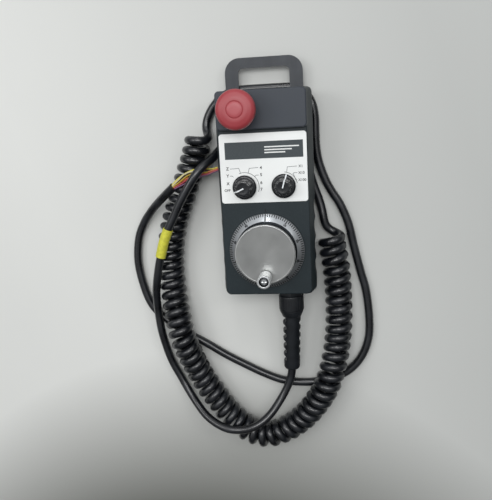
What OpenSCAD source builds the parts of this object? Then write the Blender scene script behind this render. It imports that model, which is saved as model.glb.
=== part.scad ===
// Hand-held pulse generator pendant: a two-part plastic housing with a hanger
// loop, an emergency stop, two selector switches and a graduated handwheel.
// It lies on its back: X across, Y towards the hanger, Z out of the panel.

/* [Housing] */
// Width at the joint between the two shells
body_w = 97.4; // [94:0.2:110]
// Length of the housing without hanger and gland
body_l = 208; // [206:1:230]
// Depth from the back face to the panel
body_d = 54; // [50:1:60]
// Width of the flat panel face
face_w = 88.6; // [88:0.2:92]
// Height of the joint above the back face
joint_z = 34; // [32:1:36]
// How far the end section with the stop button stands above the panel
raise_h = 6; // [3:0.5:8]
// Length of the raised end section
raise_l = 38.7; // [36:0.1:40]
// Wall thickness of both shells
wall = 2.5; // [2:0.1:3]
// Width of the slope round the back
bevel_w = 24; // [18:1:26]
// Height of the slope round the back
bevel_h = 16; // [12:1:18]
// Depth of the finger hollows in the side walls
grip_depth = 1.4; // [0.5:0.1:2]

/* [Hanger] */
// Outer width of the hanger loop
hanger_w = 80; // [70:1:84]
// How far the loop stands out past the housing
hanger_reach = 32.6; // [28:0.2:45]
// Width of each leg of the loop
leg_w = 13.7; // [10:0.1:16]
// Width of the bar across the loop
bar_w = 10.3; // [8:0.1:14]
// Thickness of the steel plate
plate_t = 2.5; // [2:0.1:3]
// Height of the plate above the back face
plate_z = 10.5; // [10:0.5:12]

/* [Faceplate and switches] */
// Width of the printed faceplate
label_w = 86.6; // [80:0.2:88]
// Length of the printed faceplate
label_l = 68.7; // [60:0.1:70]
// Thickness of the faceplate
label_t = 0.8; // [0.4:0.1:1]
// Distance between the two selector knobs
knob_pitch = 39; // [34:0.5:42]
// Diameter of a knob's skirt
skirt_d = 24; // [20:0.5:28]
// Diameter of a knob's fluted cap
cap_d = 15; // [13:0.5:17]
// Height of a knob above the panel
knob_h = 16.4; // [15:0.2:20]

/* [Emergency stop] */
// Diameter of the mushroom head
stop_d = 38; // [30:1:40]
// Height of the head above the raised section
stop_h = 28.2; // [27:0.2:32]
// Push travel of the head
stop_travel = 4; // [3:0.5:5]

/* [Handwheel] */
// Diameter of the graduated dial ring
dial_d = 76; // [72:0.5:80]
// Diameter of the wheel's top disc
wheel_d = 60; // [60:0.5:64]
// Height of the wheel above the panel
wheel_h = 22; // [20:0.5:26]
// Distance from the wheel's centre to the handle
crank_r = 22; // [20:0.5:23]
// Diameter of the spinning handle
handle_d = 13.6; // [12:0.2:15]
// Height of the handle above the wheel
handle_h = 22; // [20:0.5:28]

/* [Cable] */
// Diameter of the cable
cable_d = 9; // [8:0.1:9.4]
// Outer diameter of the curly part of the cable
curl_d = 30; // [26:0.5:30]
// How far the gland stands out of the housing
gland_out = 22; // [20:0.5:24]
// Length of the ribbed bend relief
relief_l = 72; // [60:1:80]

/* [Fit] */
// Radial clearance of a turning shaft in its hole
running = 0.05; // [0.03:0.01:0.1]
// Gap between parts that move past each other
gap = 0.4; // [0.3:0.1:0.8]

/* [Hidden] */
fine = 96;
eps = 0.01;

overall_l = gland_out + body_l + hanger_reach;
top_y = overall_l / 2 - hanger_reach;
bottom_y = top_y - body_l;
half_w = body_w / 2;
half_face = face_w / 2;
step_y = top_y - raise_l;
raised_z = body_d + raise_h;
inner_z = body_d - wall;

stop_x = -21;
stop_y = top_y - 19.4;
stop_bore_d = 22.5;
stop_stem_d = 15;
stop_head_t = 12;
stop_top = raised_z + stop_h;
label_margin = 3.45;
label_y = step_y - label_margin - label_l / 2;
label_top = body_d + label_t;
knob_y = label_y - 18.4;
knob_top = body_d + knob_h;
wheel_y = bottom_y + 48;
wheel_top = body_d + wheel_h;

switch_shaft_d = 6;
switch_d = 28;
switch_l = 21;
bushing_d = 9.5;
nut_t = 2;
nut_af = 14;
detent_deg = 30;
axis_rest = -105;
multiplier_rest = 15;

dial_lip = 2.5;
dial_foot = body_d + 1;
dial_rise = 5.5;
drum_d = wheel_d - 2.8;
disc_t = 3;
drum_top = wheel_top - disc_t;
shaft_d = 8;
encoder_d = 46;
encoder_back = 16;
flange_d = 56;
flange_t = 3.5;
neck_d = 30;
bearing_d = 16;
bearing_t = 5;
encoder_pcd = 50;
hub_d = 18;
collar_d = 12;
collar_t = 2;
code_d = 34;
code_z = 35;
code_t = 1;
reader_z = 28;
reader_t = 1.4;
reader_bore_d = 23;
reader_chip = [6, 5, 4];
axle_d = 5;
axle_flange_t = 1.2;
axle_head_d = 8;
axle_head_t = 2.2;
counterbore_d = 9;
handle_foot = wheel_top + axle_flange_t + gap;
handle_top = wheel_top + handle_h;
handle_seat = handle_top - 4.6;

gland_x = half_w - 27.7;
gland_z = 31;
gland_hole_d = 16;
gland_d = 27;
relief_drop = 9.5;
relief_drift = -2.2;
relief_rib_d = 19.4;
relief_core_d = 11;
relief_pitch = 9.7;
relief_slot = 2.6;
relief_cone = 7.5;

screw_x = 40;
screw_top_y = top_y - 10.7;
screw_bottom_y = bottom_y + 11.3;
screw_seat_z = bevel_h - 2;
tab_w = 7.7;
tab_x = hanger_w / 2 - leg_w + tab_w / 2;
tab_y = top_y - 24;
tab_screw_l = 3;
board_w = 44;
board_l = 64;
board_y = 24;
board_z = 8;

// Cable routes: round numbers along each stretch, from the relief to the bare end
lead_route = [[18.5, -196.3, 20.1], [18.2, -204, 18.8], [16.6, -214, 17.4], [12, -227, 17.3],
    [4, -241, 21], [-8, -256, 29], [-22, -266, 35], [-38, -271, 36.5], [-58, -270, 35.5],
    [-80, -261, 26.5], [-98, -244, 14], [-112, -222, 7.5], [-122, -200, 8], [-127, -178, 11.5],
    [-129.5, -160, 14.4], [-131, -142, 15], [-130.5, -128, 19], [-129, -116, 24.5],
    [-126.5, -104, 29], [-123, -90, 33], [-117.5, -70, 35.6], [-112.5, -54, 36.2],
    [-106.5, -40, 36.6], [-100, -28, 37], [-91, -11, 37.5], [-81, 5, 37.5], [-72.5, 17, 36.5],
    [-65, 25, 32], [-57.5, 31, 24], [-53.5, 36, 14.5], [-49, 42, 8.5], [-45.5, 49, 5.8],
    [-42.6, 57.5, 4.8], [-41, 67, 4.7], [-39, 79.5, 4.7], [-30, 88.5, 4.7], [-17, 91, 4.7],
    [17, 91, 4.7], [30, 88.5, 4.7], [39, 79.5, 4.7], [41, 67, 4.7], [41, 53, 4.7], [41, 38, 4.7],
    [41.5, 24, 4.7], [44, 10, 4.7], [48, -4, 4.7], [52.5, -17, 5], [56, -30, 6.2], [58, -44, 8.3]];
curl_route = [[65, -44, 15.3], [65.5, -64, 15.3], [69, -88, 15.3], [71, -118, 15.3], [71, -146, 16],
    [69, -172, 19], [64, -198, 24], [56, -222, 26], [44, -244, 21.5], [29, -264, 17],
    [10, -279, 15.3], [-12, -287, 15.3], [-33, -282, 15.3], [-53, -265, 15.3], [-69, -243, 15.3],
    [-84, -218, 16], [-94, -192, 21], [-102, -166, 25.3], [-107, -140, 22], [-111, -112, 16],
    [-112, -84, 15.3], [-109, -56, 15.3], [-103, -32, 15.3], [-94, -9, 15.3], [-85, 14, 15.3],
    [-78.5, 30, 15.3], [-74.5, 42, 15.3], [-71, 53, 15.3], [-68.5, 64, 15.3]];
tail_route = [[-66, 64.6, 5.2], [-62.5, 74, 4.7], [-57, 83, 4.7], [-49, 91.5, 4.7], [-40, 97, 4.7],
    [-29, 99.8, 4.7], [-17, 100.4, 4.7], [17, 100.4, 4.7], [29, 99.8, 4.7], [40, 95, 4.7],
    [47.5, 84, 4.7], [50.4, 70, 4.7], [50.6, 54, 4.7], [51, 38, 4.7], [53.5, 22, 4.7],
    [59.5, 4, 4.7], [66.5, -10, 4.7], [74.5, -23, 4.7], [83, -44, 4.7], [88.5, -69, 4.7],
    [95, -96, 4.7], [101, -120, 4.7], [104, -150, 4.7], [103, -174, 4.7], [95, -196, 4.7],
    [80, -213, 4.7], [58, -223, 4.7], [34, -227, 4.7], [8, -225, 4.7], [-14, -217, 4.7],
    [-36, -206, 4.7], [-58, -194, 4.7], [-80, -180, 4.7], [-104, -166, 4.7], [-126, -150, 4.7],
    [-141, -133, 4.7], [-149, -110, 4.7], [-153, -82, 4.7], [-150, -56, 4.7], [-142, -38, 6.5],
    [-130, -23, 13], [-117, -11, 22], [-106, -2, 29.5], [-98, 4.5, 33.5]];
marker_from = 20;
marker_to = 22;

// ---------------------------------------------------------------- helpers

// One thin slice of a shell: [z, half width, top y, bottom y, corner radius]
module slice(s) {
    for (x = [-s[1] + s[4], s[1] - s[4]], y = [s[2] - s[4], s[3] + s[4]])
        translate([x, y, s[0]]) cylinder(r = s[4], h = eps, $fn = 32);
}

module loft(slices) {
    hull() for (s = slices) slice(s);
}

module block(size, at) {
    translate([at.x - size.x / 2, at.y - size.y / 2, at.z]) cube(size);
}

module post(d, z0, z1, at = [0, 0]) {
    translate([at.x, at.y, z0]) cylinder(d = d, h = z1 - z0, $fn = fine);
}

module ring(outer, inner, z0, z1, at = [0, 0]) {
    difference() {
        post(outer, z0, z1, at);
        post(inner, z0 - 1, z1 + 1, at);
    }
}

module rounded_plate(w, l, r, t) {
    union() {
        translate([-w / 2 + r, -l / 2, 0]) cube([w - 2 * r, l, t]);
        translate([-w / 2, -l / 2 + r, 0]) cube([w, l - 2 * r, t]);
        for (x = [-1, 1], y = [-1, 1])
            translate([x * (w / 2 - r), y * (l / 2 - r), 0]) cylinder(r = r, h = t, $fn = fine);
    }
}

function unit(v) = v / norm(v);
function tangent(p, i) = unit(p[min(i + 1, len(p) - 1)] - p[max(i - 1, 0)]);
function side(t) = unit(cross(t, [0, 0, 1]));
function ring_points(p, i, r, n) =
    let (t = tangent(p, i), u = side(t), v = cross(u, t))
    [for (k = [0:n - 1]) p[i] + r * (cos(k * 360 / n) * u + sin(k * 360 / n) * v)];

// A round tube along a list of points
module tube(p, d, sides = 10) {
    rings = len(p);
    points = [for (i = [0:rings - 1]) each ring_points(p, i, d / 2, sides)];
    walls = [for (i = [0:rings - 2], k = [0:sides - 1])
        let (a = i * sides + k, b = i * sides + (k + 1) % sides) [a, b, b + sides, a + sides]];
    polyhedron(points, concat([[for (k = [sides - 1:-1:0]) k]], walls,
        [[for (k = [0:sides - 1]) (rings - 1) * sides + k]]), convexity = 6);
}

module at_screws() {
    for (x = [-screw_x, screw_x], y = [screw_top_y, screw_bottom_y]) translate([x, y, 0]) children();
}

// --------------------------------------------------------------- housing

module front_outside() {
    loft([[joint_z, half_w, top_y, bottom_y, 5],
        [body_d - 7, half_w - 3, top_y - 0.7, bottom_y, 5],
        [body_d - 1.5, half_face, top_y - 1, bottom_y + 1.3, 5],
        [body_d - eps, half_face - 1.2, top_y - 2.2, bottom_y + 2.6, 4]]);
    loft([[body_d - 7, half_w - 3, top_y - 0.7, step_y, 4],
        [raised_z - 1.5, half_face, top_y - 1, step_y, 4],
        [raised_z - eps, half_face - 1.2, top_y - 2.2, step_y + 1.2, 3.5]]);
}

module front_inside() {
    loft([[joint_z - 1, half_w - wall, top_y - wall, bottom_y + wall, 4],
        [body_d - 7, half_w - 3 - wall, top_y - 1 - wall, bottom_y + wall, 4],
        [inner_z, half_face - wall, top_y - 2 - wall, bottom_y + 2 + wall, 4]]);
    loft([[body_d - 7, half_w - 5.5, top_y - 1 - wall, step_y + wall, 3],
        [raised_z - wall, half_face - wall, top_y - 2 - wall, step_y + wall, 3]]);
}

// Four hollows for the fingers down each side
module finger_hollows() {
    pitch = 20.4;
    r = (pitch * pitch / 4 + grip_depth * grip_depth) / (2 * grip_depth);
    for (s = [-1, 1], i = [0:3])
        translate([s * (half_w - grip_depth + r), step_y - 82.9 - i * pitch, -1])
            cylinder(r = r, h = body_d, $fn = fine);
}

module front_shell() {
    color([0.2, 0.21, 0.24]) difference() {
        union() {
            difference() {
                front_outside();
                front_inside();
            }
            intersection() {
                front_outside();
                at_screws() ring(9, 3.1, joint_z, raised_z + 1);
            }
        }
        finger_hollows();
        post(stop_bore_d, inner_z, raised_z + 1, [stop_x, stop_y]);
        for (x = [-knob_pitch / 2, knob_pitch / 2])
            post(bushing_d + 0.3, inner_z - 1, body_d + 1, [x, knob_y]);
        post(neck_d + 0.4, inner_z - 1, body_d + 1, [0, wheel_y]);
        encoder_holes(inner_z - 1, body_d + 1, 4.3);
        encoder_holes(body_d - 1.4, body_d + 1, 7.4);
        gland_hole();
    }
}

module encoder_holes(z0, z1, d) {
    for (a = [30, 150, 270])
        post(d, z0, z1, [encoder_pcd / 2 * cos(a), wheel_y + encoder_pcd / 2 * sin(a)]);
}

module gland_hole() {
    translate([gland_x, bottom_y - 1, gland_z]) rotate([-90, 0, 0])
        cylinder(d = gland_hole_d + 0.2, h = wall + 3, $fn = fine);
}

module back_outside() {
    loft([[joint_z - eps, half_w, top_y, bottom_y, 5],
        [bevel_h, half_w, top_y, bottom_y, 14],
        [0, half_w - bevel_w, top_y - bevel_w, bottom_y + bevel_w * 0.6,
            min(bevel_w, half_w - bevel_w) - 0.5]]);
}

module back_inside() {
    rise = bevel_h + 1.3;
    loft([[joint_z + 1, half_w - wall, top_y - wall, bottom_y + wall, 4],
        [rise, half_w - wall, top_y - wall, bottom_y + wall, 12],
        [wall, half_w - bevel_w - 0.7, top_y - bevel_w - 0.7, bottom_y + bevel_w * 0.6 + 0.7,
            min(bevel_w, half_w - bevel_w) - 2]]);
}

module back_posts() {
    at_screws() post(9, 1, joint_z);
    for (s = [-1, 1]) post(8.5, 1, plate_z, [s * tab_x, tab_y]);
    for (x = [-1, 1], y = [-1, 1])
        post(6, 1, board_z, [x * (board_w / 2 - 3.5), board_y + y * (board_l / 2 - 4)]);
}

module back_shell() {
    color([0.16, 0.17, 0.19]) difference() {
        union() {
            difference() {
                back_outside();
                back_inside();
            }
            intersection() {
                back_outside();
                back_posts();
            }
        }
        finger_hollows();
        at_screws() {
            post(3.4, -1, joint_z + 1);
            post(6.6, -1, screw_seat_z);
        }
        for (s = [-1, 1]) {
            post(3.6, plate_z - tab_screw_l - 0.2, plate_z + 1, [s * tab_x, tab_y]);
            block([tab_w + 0.3, 28, plate_t + 0.2], [s * tab_x, top_y - 14, plate_z]);
        }
        for (x = [-1, 1], y = [-1, 1])
            post(2.6, wall, board_z + 1, [x * (board_w / 2 - 3.5), board_y + y * (board_l / 2 - 4)]);
        gland_hole();
    }
}

module shell_screws() {
    color([0.3, 0.3, 0.32]) at_screws() difference() {
        union() {
            post(5.8, screw_seat_z - 2.6, screw_seat_z);
            post(3, screw_seat_z - 0.1, joint_z + 12);
        }
        block([4.2, 0.9, 1.4], [0, 0, screw_seat_z - 2.7]);
        block([0.9, 4.2, 1.4], [0, 0, screw_seat_z - 2.7]);
    }
}

module hanger_loop() {
    foot_y = top_y - 3.9;
    tip_y = top_y + hanger_reach;
    slot_w = hanger_w - 2 * leg_w;
    r_out = 15;
    r_in = 5;
    color([0.24, 0.25, 0.29]) translate([0, 0, plate_z]) difference() {
        union() {
            translate([-hanger_w / 2, foot_y, 0]) cube([hanger_w, tip_y - foot_y - r_out, plate_t]);
            translate([-hanger_w / 2 + r_out, tip_y - r_out - 1, 0]) cube([hanger_w - 2 * r_out, r_out + 1, plate_t]);
            for (s = [-1, 1])
                post(2 * r_out, 0, plate_t, [s * (hanger_w / 2 - r_out), tip_y - r_out]);
            for (s = [-1, 1])
                block([tab_w, foot_y - tab_y + 7, plate_t], [s * tab_x, (foot_y + tab_y - 5) / 2, 0]);
        }
        translate([-slot_w / 2, foot_y - 1, -1]) cube([slot_w, tip_y - bar_w - foot_y + 1 - r_in, plate_t + 2]);
        translate([-slot_w / 2 + r_in, foot_y - 1, -1]) cube([slot_w - 2 * r_in, tip_y - bar_w - foot_y + 1, plate_t + 2]);
        for (s = [-1, 1]) {
            post(2 * r_in, -1, plate_t + 1, [s * (slot_w / 2 - r_in), tip_y - bar_w - r_in]);
            post(4.3, -1, plate_t + 1, [s * tab_x, tab_y]);
        }
    }
}

module hanger_screws() {
    seat = plate_z + plate_t;
    color([0.7, 0.71, 0.72]) for (s = [-1, 1]) translate([s * tab_x, tab_y, 0]) difference() {
        union() {
            post(7, seat, seat + 2.6);
            post(3.5, plate_z - tab_screw_l, seat + 1);
        }
        block([4.6, 1, 2], [0, 0, seat + 1.4]);
        block([1, 4.6, 2], [0, 0, seat + 1.4]);
    }
}

module faceplate() {
    color([0.93, 0.94, 0.93]) difference() {
        translate([0, label_y, body_d]) rounded_plate(label_w, label_l, 3, label_t);
        for (x = [-knob_pitch / 2, knob_pitch / 2]) post(bushing_d + 0.3, body_d - 1, label_top + 1, [x, knob_y]);
    }
}

// -------------------------------------------------------------- switches

module at_knob(s) {
    translate([s * knob_pitch / 2, knob_y, 0]) children();
}

// Fluted cap on a round skirt, with the pointer groove along +Y
module knob() {
    skirt_z = label_top + gap;
    skirt_top = label_top + 4.4;
    flutes = 10;
    difference() {
        union() {
            post(skirt_d, skirt_z, skirt_top - 1.2);
            translate([0, 0, skirt_top - 1.2]) cylinder(d1 = skirt_d, d2 = skirt_d - 3, h = 1.2, $fn = fine);
            post(cap_d, skirt_top - 0.5, knob_top);
            for (i = [1:flutes - 1])
                rotate([0, 0, i * 360 / flutes]) post(2.4, skirt_top - 0.5, knob_top - 0.8, [0, cap_d / 2 - 0.3]);
        }
        post(switch_shaft_d, skirt_z - 1, knob_top - 2);
        post(nut_af * 1.2 + 1, skirt_z - 1, label_top + nut_t + gap + 0.3);
        block([0.9, cap_d / 2 + 1, 2], [0, cap_d / 4 + 2, knob_top - 0.5]);
    }
}

module switch_shaft() {
    post(switch_shaft_d, inner_z - switch_l + 3, knob_top - 2.2);
}

module switch_body() {
    difference() {
        union() {
            post(switch_d, inner_z - switch_l, inner_z);
            post(bushing_d, inner_z - 1, label_top + nut_t + 0.2);
            for (i = [0:11])
                rotate([0, 0, i * 360 / 12 + 15])
                    block([1.4, 2.5, 5], [0, switch_d / 2 - 3, inner_z - switch_l - 4]);
        }
        post(switch_shaft_d + 2 * running, inner_z - switch_l + 3 - gap, label_top + nut_t + 1);
    }
}

module switch_nut() {
    difference() {
        translate([0, 0, label_top]) cylinder(d = nut_af / cos(30), h = nut_t, $fn = 6);
        post(bushing_d, label_top - 1, label_top + nut_t + 1);
    }
}

module axis_knob() { color([0.09, 0.1, 0.12]) at_knob(-1) rotate([0, 0, -axis_rest]) knob(); }
module axis_switch_shaft() { color("silver") at_knob(-1) switch_shaft(); }
module axis_switch() { color([0.2, 0.22, 0.2]) at_knob(-1) switch_body(); }
module axis_switch_nut() { color("silver") at_knob(-1) switch_nut(); }
module multiplier_knob() { color([0.09, 0.1, 0.12]) at_knob(1) rotate([0, 0, -multiplier_rest]) knob(); }
module multiplier_switch_shaft() { color("silver") at_knob(1) switch_shaft(); }
module multiplier_switch() { color([0.2, 0.22, 0.2]) at_knob(1) switch_body(); }
module multiplier_switch_nut() { color("silver") at_knob(1) switch_nut(); }

// -------------------------------------------------------- emergency stop

bezel_t = 5;
bezel_d = 29;
neck_len = 16;
block_top = raised_z - wall - neck_len;

module at_stop() {
    translate([stop_x, stop_y, 0]) children();
}

// Domed head with a raised centre pad, hollow below
module stop_head() {
    r = stop_d / 2;
    foot = stop_top - stop_head_t;
    color([0.78, 0.12, 0.14]) at_stop() difference() {
        rotate_extrude($fn = fine) polygon([[0, foot], [r - 1.5, foot], [r, foot + 1.5], [r, foot + 5.5],
            [r - 0.8, foot + 8], [r - 3.2, foot + 9.9], [r - 7.5, foot + 11], [8.3, foot + 11.2],
            [7.9, foot + 10.7], [7.5, foot + 11.3], [5.2, stop_top], [0, stop_top]]);
        post(stop_stem_d + 2 * running, foot - 1, foot + 6);
        difference() {
            post(stop_d - 8, foot - 1, foot + 3);
            post(stop_stem_d + 5, foot - 2, foot + 4);
        }
    }
}

module stop_plunger() {
    color([0.75, 0.75, 0.72]) at_stop() {
        post(stop_stem_d, block_top + stop_travel + gap, stop_top - stop_head_t + 6 - gap);
    }
}

module stop_bezel() {
    color([0.12, 0.12, 0.13]) at_stop() difference() {
        union() {
            post(bezel_d, raised_z, raised_z + bezel_t - 1.2);
            translate([0, 0, raised_z + bezel_t - 1.2])
                cylinder(d1 = bezel_d, d2 = bezel_d - 3, h = 1.2, $fn = fine);
            post(stop_bore_d - 0.3, block_top, raised_z + 1);
        }
        post(stop_stem_d + 2 * running, block_top - 1, raised_z + bezel_t + 1);
    }
}

module stop_locknut() {
    z = raised_z - wall;
    color([0.15, 0.15, 0.16]) at_stop() difference() {
        translate([0, 0, z - 5]) cylinder(d = 30, h = 5, $fn = 6);
        post(stop_bore_d - 0.3, z - 6, z + 1);
    }
}

module stop_contact_block() {
    color([0.14, 0.2, 0.36]) at_stop() difference() {
        union() {
            block([28, 30, 20], [0, 0, block_top - 20]);
            for (x = [-1, 1], y = [-1, 1])
                block([6, 6, 3], [x * 9, y * 10.5, block_top - 22]);
        }
        post(13, block_top - 12, block_top + 1);
    }
}

// Return spring in its pocket in the contact block
module stop_spring() {
    turns = 5;
    steps = 16;
    wire = 1.1;
    low = block_top - 12 + wire / 2;
    rise = block_top - wire - low;
    coil = [for (i = [0:turns * steps])
        [4.6 * cos(i * 360 / steps), 4.6 * sin(i * 360 / steps), low + i * rise / (turns * steps)]];
    color([0.75, 0.76, 0.78]) at_stop() tube(coil, wire, 6);
}

// ------------------------------------------------------------- handwheel

module at_wheel() {
    translate([0, wheel_y, 0]) children();
}

module at_crank() {
    translate([0, wheel_y - crank_r, 0]) children();
}

module dial_ring() {
    r = dial_d / 2;
    color([0.8, 0.81, 0.82]) at_wheel() rotate_extrude($fn = fine) polygon([[drum_d / 2, dial_foot],
        [r - 0.4, dial_foot], [r, dial_foot + 0.4], [r, dial_foot + dial_lip],
        [drum_d / 2 + 0.8, dial_foot + dial_lip + dial_rise], [drum_d / 2, dial_foot + dial_lip + dial_rise]]);
}

module wheel_drum() {
    color([0.1, 0.1, 0.11]) at_wheel() difference() {
        union() {
            difference() {
                post(drum_d, dial_foot, drum_top);
                post(drum_d - 6, dial_foot - 1, drum_top - 3);
            }
            post(hub_d, dial_foot, drum_top - 1);
            post(9.5, drum_top - 8, drum_top - 1, [0, -crank_r + 0.6]);
        }
        post(shaft_d, dial_foot - 1, drum_top - 3);
        post(axle_d, drum_top - 9, drum_top + 1, [0, -crank_r]);
    }
}

module wheel_disc() {
    color([0.78, 0.79, 0.8]) difference() {
        at_wheel() union() {
            post(wheel_d, drum_top, wheel_top - 0.8);
            translate([0, 0, wheel_top - 0.8]) cylinder(d1 = wheel_d, d2 = wheel_d - 1.6, h = 0.8, $fn = fine);
        }
        at_crank() post(axle_d, drum_top - 1, wheel_top + 1);
    }
}

module wheel_shaft() {
    color([0.72, 0.73, 0.75]) at_wheel() {
        post(shaft_d, encoder_back + 4.5, drum_top - 3);
        post(collar_d, code_z - collar_t, code_z);
    }
}

module code_disc() {
    color([0.55, 0.62, 0.66]) at_wheel() ring(code_d, shaft_d, code_z, code_z + code_t);
}

module crank_axle() {
    color([0.7, 0.71, 0.73]) at_crank() difference() {
        union() {
            post(axle_d, drum_top - 8, handle_seat + gap + 0.5);
            post(11.5, wheel_top, wheel_top + axle_flange_t);
            post(axle_head_d, handle_seat + gap, handle_seat + gap + axle_head_t);
        }
        block([axle_head_d - 2, 1.1, 2], [0, 0, handle_seat + gap + axle_head_t - 1]);
        block([1.1, axle_head_d - 2, 2], [0, 0, handle_seat + gap + axle_head_t - 1]);
    }
}

module crank_handle() {
    r = handle_d / 2;
    color([0.82, 0.82, 0.82]) at_crank() difference() {
        rotate_extrude($fn = fine) polygon([[0, handle_foot], [r - 0.9, handle_foot], [r - 0.3, handle_foot + 0.6],
            [r - 0.7, handle_foot + 8], [r, handle_top - 3], [r, handle_top - 0.8], [r - 0.8, handle_top],
            [0, handle_top]]);
        post(axle_d + 2 * running, handle_foot - 1, handle_seat + 1);
        post(counterbore_d, handle_seat, handle_top + 1);
    }
}

module encoder_body() {
    color([0.24, 0.25, 0.26]) at_wheel() difference() {
        union() {
            post(encoder_d, encoder_back + 4, inner_z);
            post(flange_d, inner_z - flange_t, inner_z);
            post(neck_d, inner_z - 1, body_d);
        }
        post(encoder_d - 5, encoder_back + 3, inner_z - 8);
        post(bearing_d, body_d - bearing_t - 0.3, body_d + 1);
        post(shaft_d + 3, encoder_back, body_d);
        translate([0, -wheel_y, 0]) encoder_holes(inner_z - 5, inner_z + 1, 3.9);
    }
}

module encoder_cover() {
    color([0.2, 0.21, 0.22]) at_wheel() difference() {
        union() {
            post(encoder_d, encoder_back, encoder_back + 4);
            post(22, encoder_back, encoder_back + 4 + bearing_t);
            block([14, 8, 5], [0, 16, encoder_back - 5]);
        }
        post(bearing_d, encoder_back + 4, encoder_back + 5 + bearing_t);
    }
}

module encoder_bearings() {
    color([0.75, 0.76, 0.78]) at_wheel()
        for (z = [encoder_back + 4, body_d - bearing_t - 0.3])
            ring(bearing_d, shaft_d + 2 * running, z, z + bearing_t);
}

module encoder_reader() {
    color([0.1, 0.35, 0.2]) at_wheel() difference() {
        post(encoder_d - 5, reader_z, reader_z + reader_t);
        post(reader_bore_d, reader_z - 1, reader_z + reader_t + 1);
    }
    color([0.1, 0.1, 0.1]) at_wheel() block(reader_chip, [code_d / 2 - 2.5, 0, reader_z + reader_t]);
}

module encoder_screws() {
    color([0.7, 0.71, 0.72]) difference() {
        union() {
            encoder_holes(inner_z - 4, body_d - 0.5, 3.9);
            encoder_holes(body_d - 1.4, body_d - 0.1, 7);
        }
        encoder_holes(body_d - 0.7, body_d + 1, 2.2);
    }
}

// ----------------------------------------------------- electronics inside

module at_board_screws() {
    for (x = [-1, 1], y = [-1, 1])
        translate([x * (board_w / 2 - 3.5), board_y + y * (board_l / 2 - 4), 0]) children();
}

module terminal_board() {
    color([0.08, 0.32, 0.16]) difference() {
        block([board_w, board_l, 1.6], [0, board_y, board_z]);
        at_board_screws() post(2.9, board_z - 1, board_z + 3);
    }
}

module terminal_strips() {
    ways = 10;
    color([0.12, 0.45, 0.22]) for (s = [-1, 1]) translate([s * 9, board_y, board_z + 1.6]) difference() {
        block([8, ways * 4.6, 9], [0, 0, 0]);
        for (i = [0:ways - 1])
            post(2.8, 5, 10, [0, (i - (ways - 1) / 2) * 4.6]);
    }
}

module board_screws() {
    color([0.72, 0.72, 0.7]) at_board_screws() {
        post(2.6, wall + 0.5, board_z + 2);
        post(5, board_z + 1.6, board_z + 3.2);
    }
}

// ------------------------------------------------------- gland and cable

module along_gland() {
    translate([gland_x, bottom_y, gland_z]) rotate([90, 0, 0]) children();
}

module gland_body() {
    color([0.08, 0.08, 0.09]) along_gland() difference() {
        union() {
            post(gland_hole_d, -wall - 8, 1);
            cylinder(d = gland_d, h = 5.5, $fn = 6);
            post(19, 0, gland_out - 6);
        }
        post(cable_d + 0.4, -wall - 9, gland_out);
    }
}

module gland_nut() {
    foot = 5.5;
    color([0.1, 0.1, 0.11]) along_gland() difference() {
        union() {
            post(gland_d - 0.6, foot, gland_out - 0.8);
            translate([0, 0, gland_out - 0.8]) cylinder(d1 = gland_d - 0.6, d2 = gland_d - 2.2, h = 0.8, $fn = fine);
        }
        post(19, foot - 1, gland_out - 6);
        post(14, foot, gland_out + 1);
    }
}

module gland_locknut() {
    color([0.08, 0.08, 0.09]) along_gland() difference() {
        translate([0, 0, -wall - 4]) cylinder(d = 24, h = 4, $fn = 6);
        post(gland_hole_d, -wall - 5, 1);
    }
}

// Slots cut across the sleeve from one side, at a given turn round it
module relief_slots(first, count, turn) {
    rotate([0, 0, turn]) for (i = [0:count - 1])
        translate([relief_core_d / 2, -relief_rib_d, first + i * relief_pitch])
            cube([relief_rib_d, 2 * relief_rib_d, relief_slot]);
}

module along_relief() {
    rotate([0, relief_drift, 0]) rotate([relief_drop, 0, 0]) children();
}

// Cone against the nut, then a drooping sleeve slotted from alternate sides,
// so that it bends without kinking
module bend_relief() {
    rib_r = relief_rib_d / 2;
    profile = [[0, 0], [rib_r, 0], [rib_r, relief_cone], [rib_r - 0.7, relief_l - 12],
        [rib_r - 0.9, relief_l - 1.5], [rib_r - 2, relief_l], [0, relief_l]];
    color([0.07, 0.07, 0.08]) translate([gland_x, bottom_y - gland_out, gland_z]) rotate([90, 0, 0])
        difference() {
            union() {
                cylinder(d1 = gland_d - 1, d2 = relief_rib_d + 0.4, h = relief_cone, $fn = fine);
                along_relief() rotate_extrude($fn = 64) polygon(profile);
            }
            along_relief() {
                post(cable_d + 0.4, -8, relief_l + 1);
                relief_slots(relief_cone + 1.5, 6, 180);
                relief_slots(relief_cone + 1.5 + relief_pitch / 2, 5, -25);
            }
            translate([0, 0, -8]) cylinder(d = 2 * gland_d, h = 8);
        }
}

module lead_cable() { color([0.1, 0.1, 0.11]) tube(lead_route, cable_d); }
module curly_cord() { color([0.09, 0.09, 0.1]) tube(curl_route, curl_d, 12); }
module tail_cable() { color([0.1, 0.1, 0.11]) tube(tail_route, cable_d); }

// Marker sleeve clipped round the lead
module cable_marker() {
    stretch = [for (i = [marker_from:marker_to]) lead_route[i]];
    color([0.9, 0.8, 0.1]) difference() {
        tube(stretch, cable_d + 2, 12);
        tube(concat([2 * stretch[0] - stretch[1]], stretch, [2 * stretch[2] - stretch[1]]), cable_d + 0.1, 12);
    }
}

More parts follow.
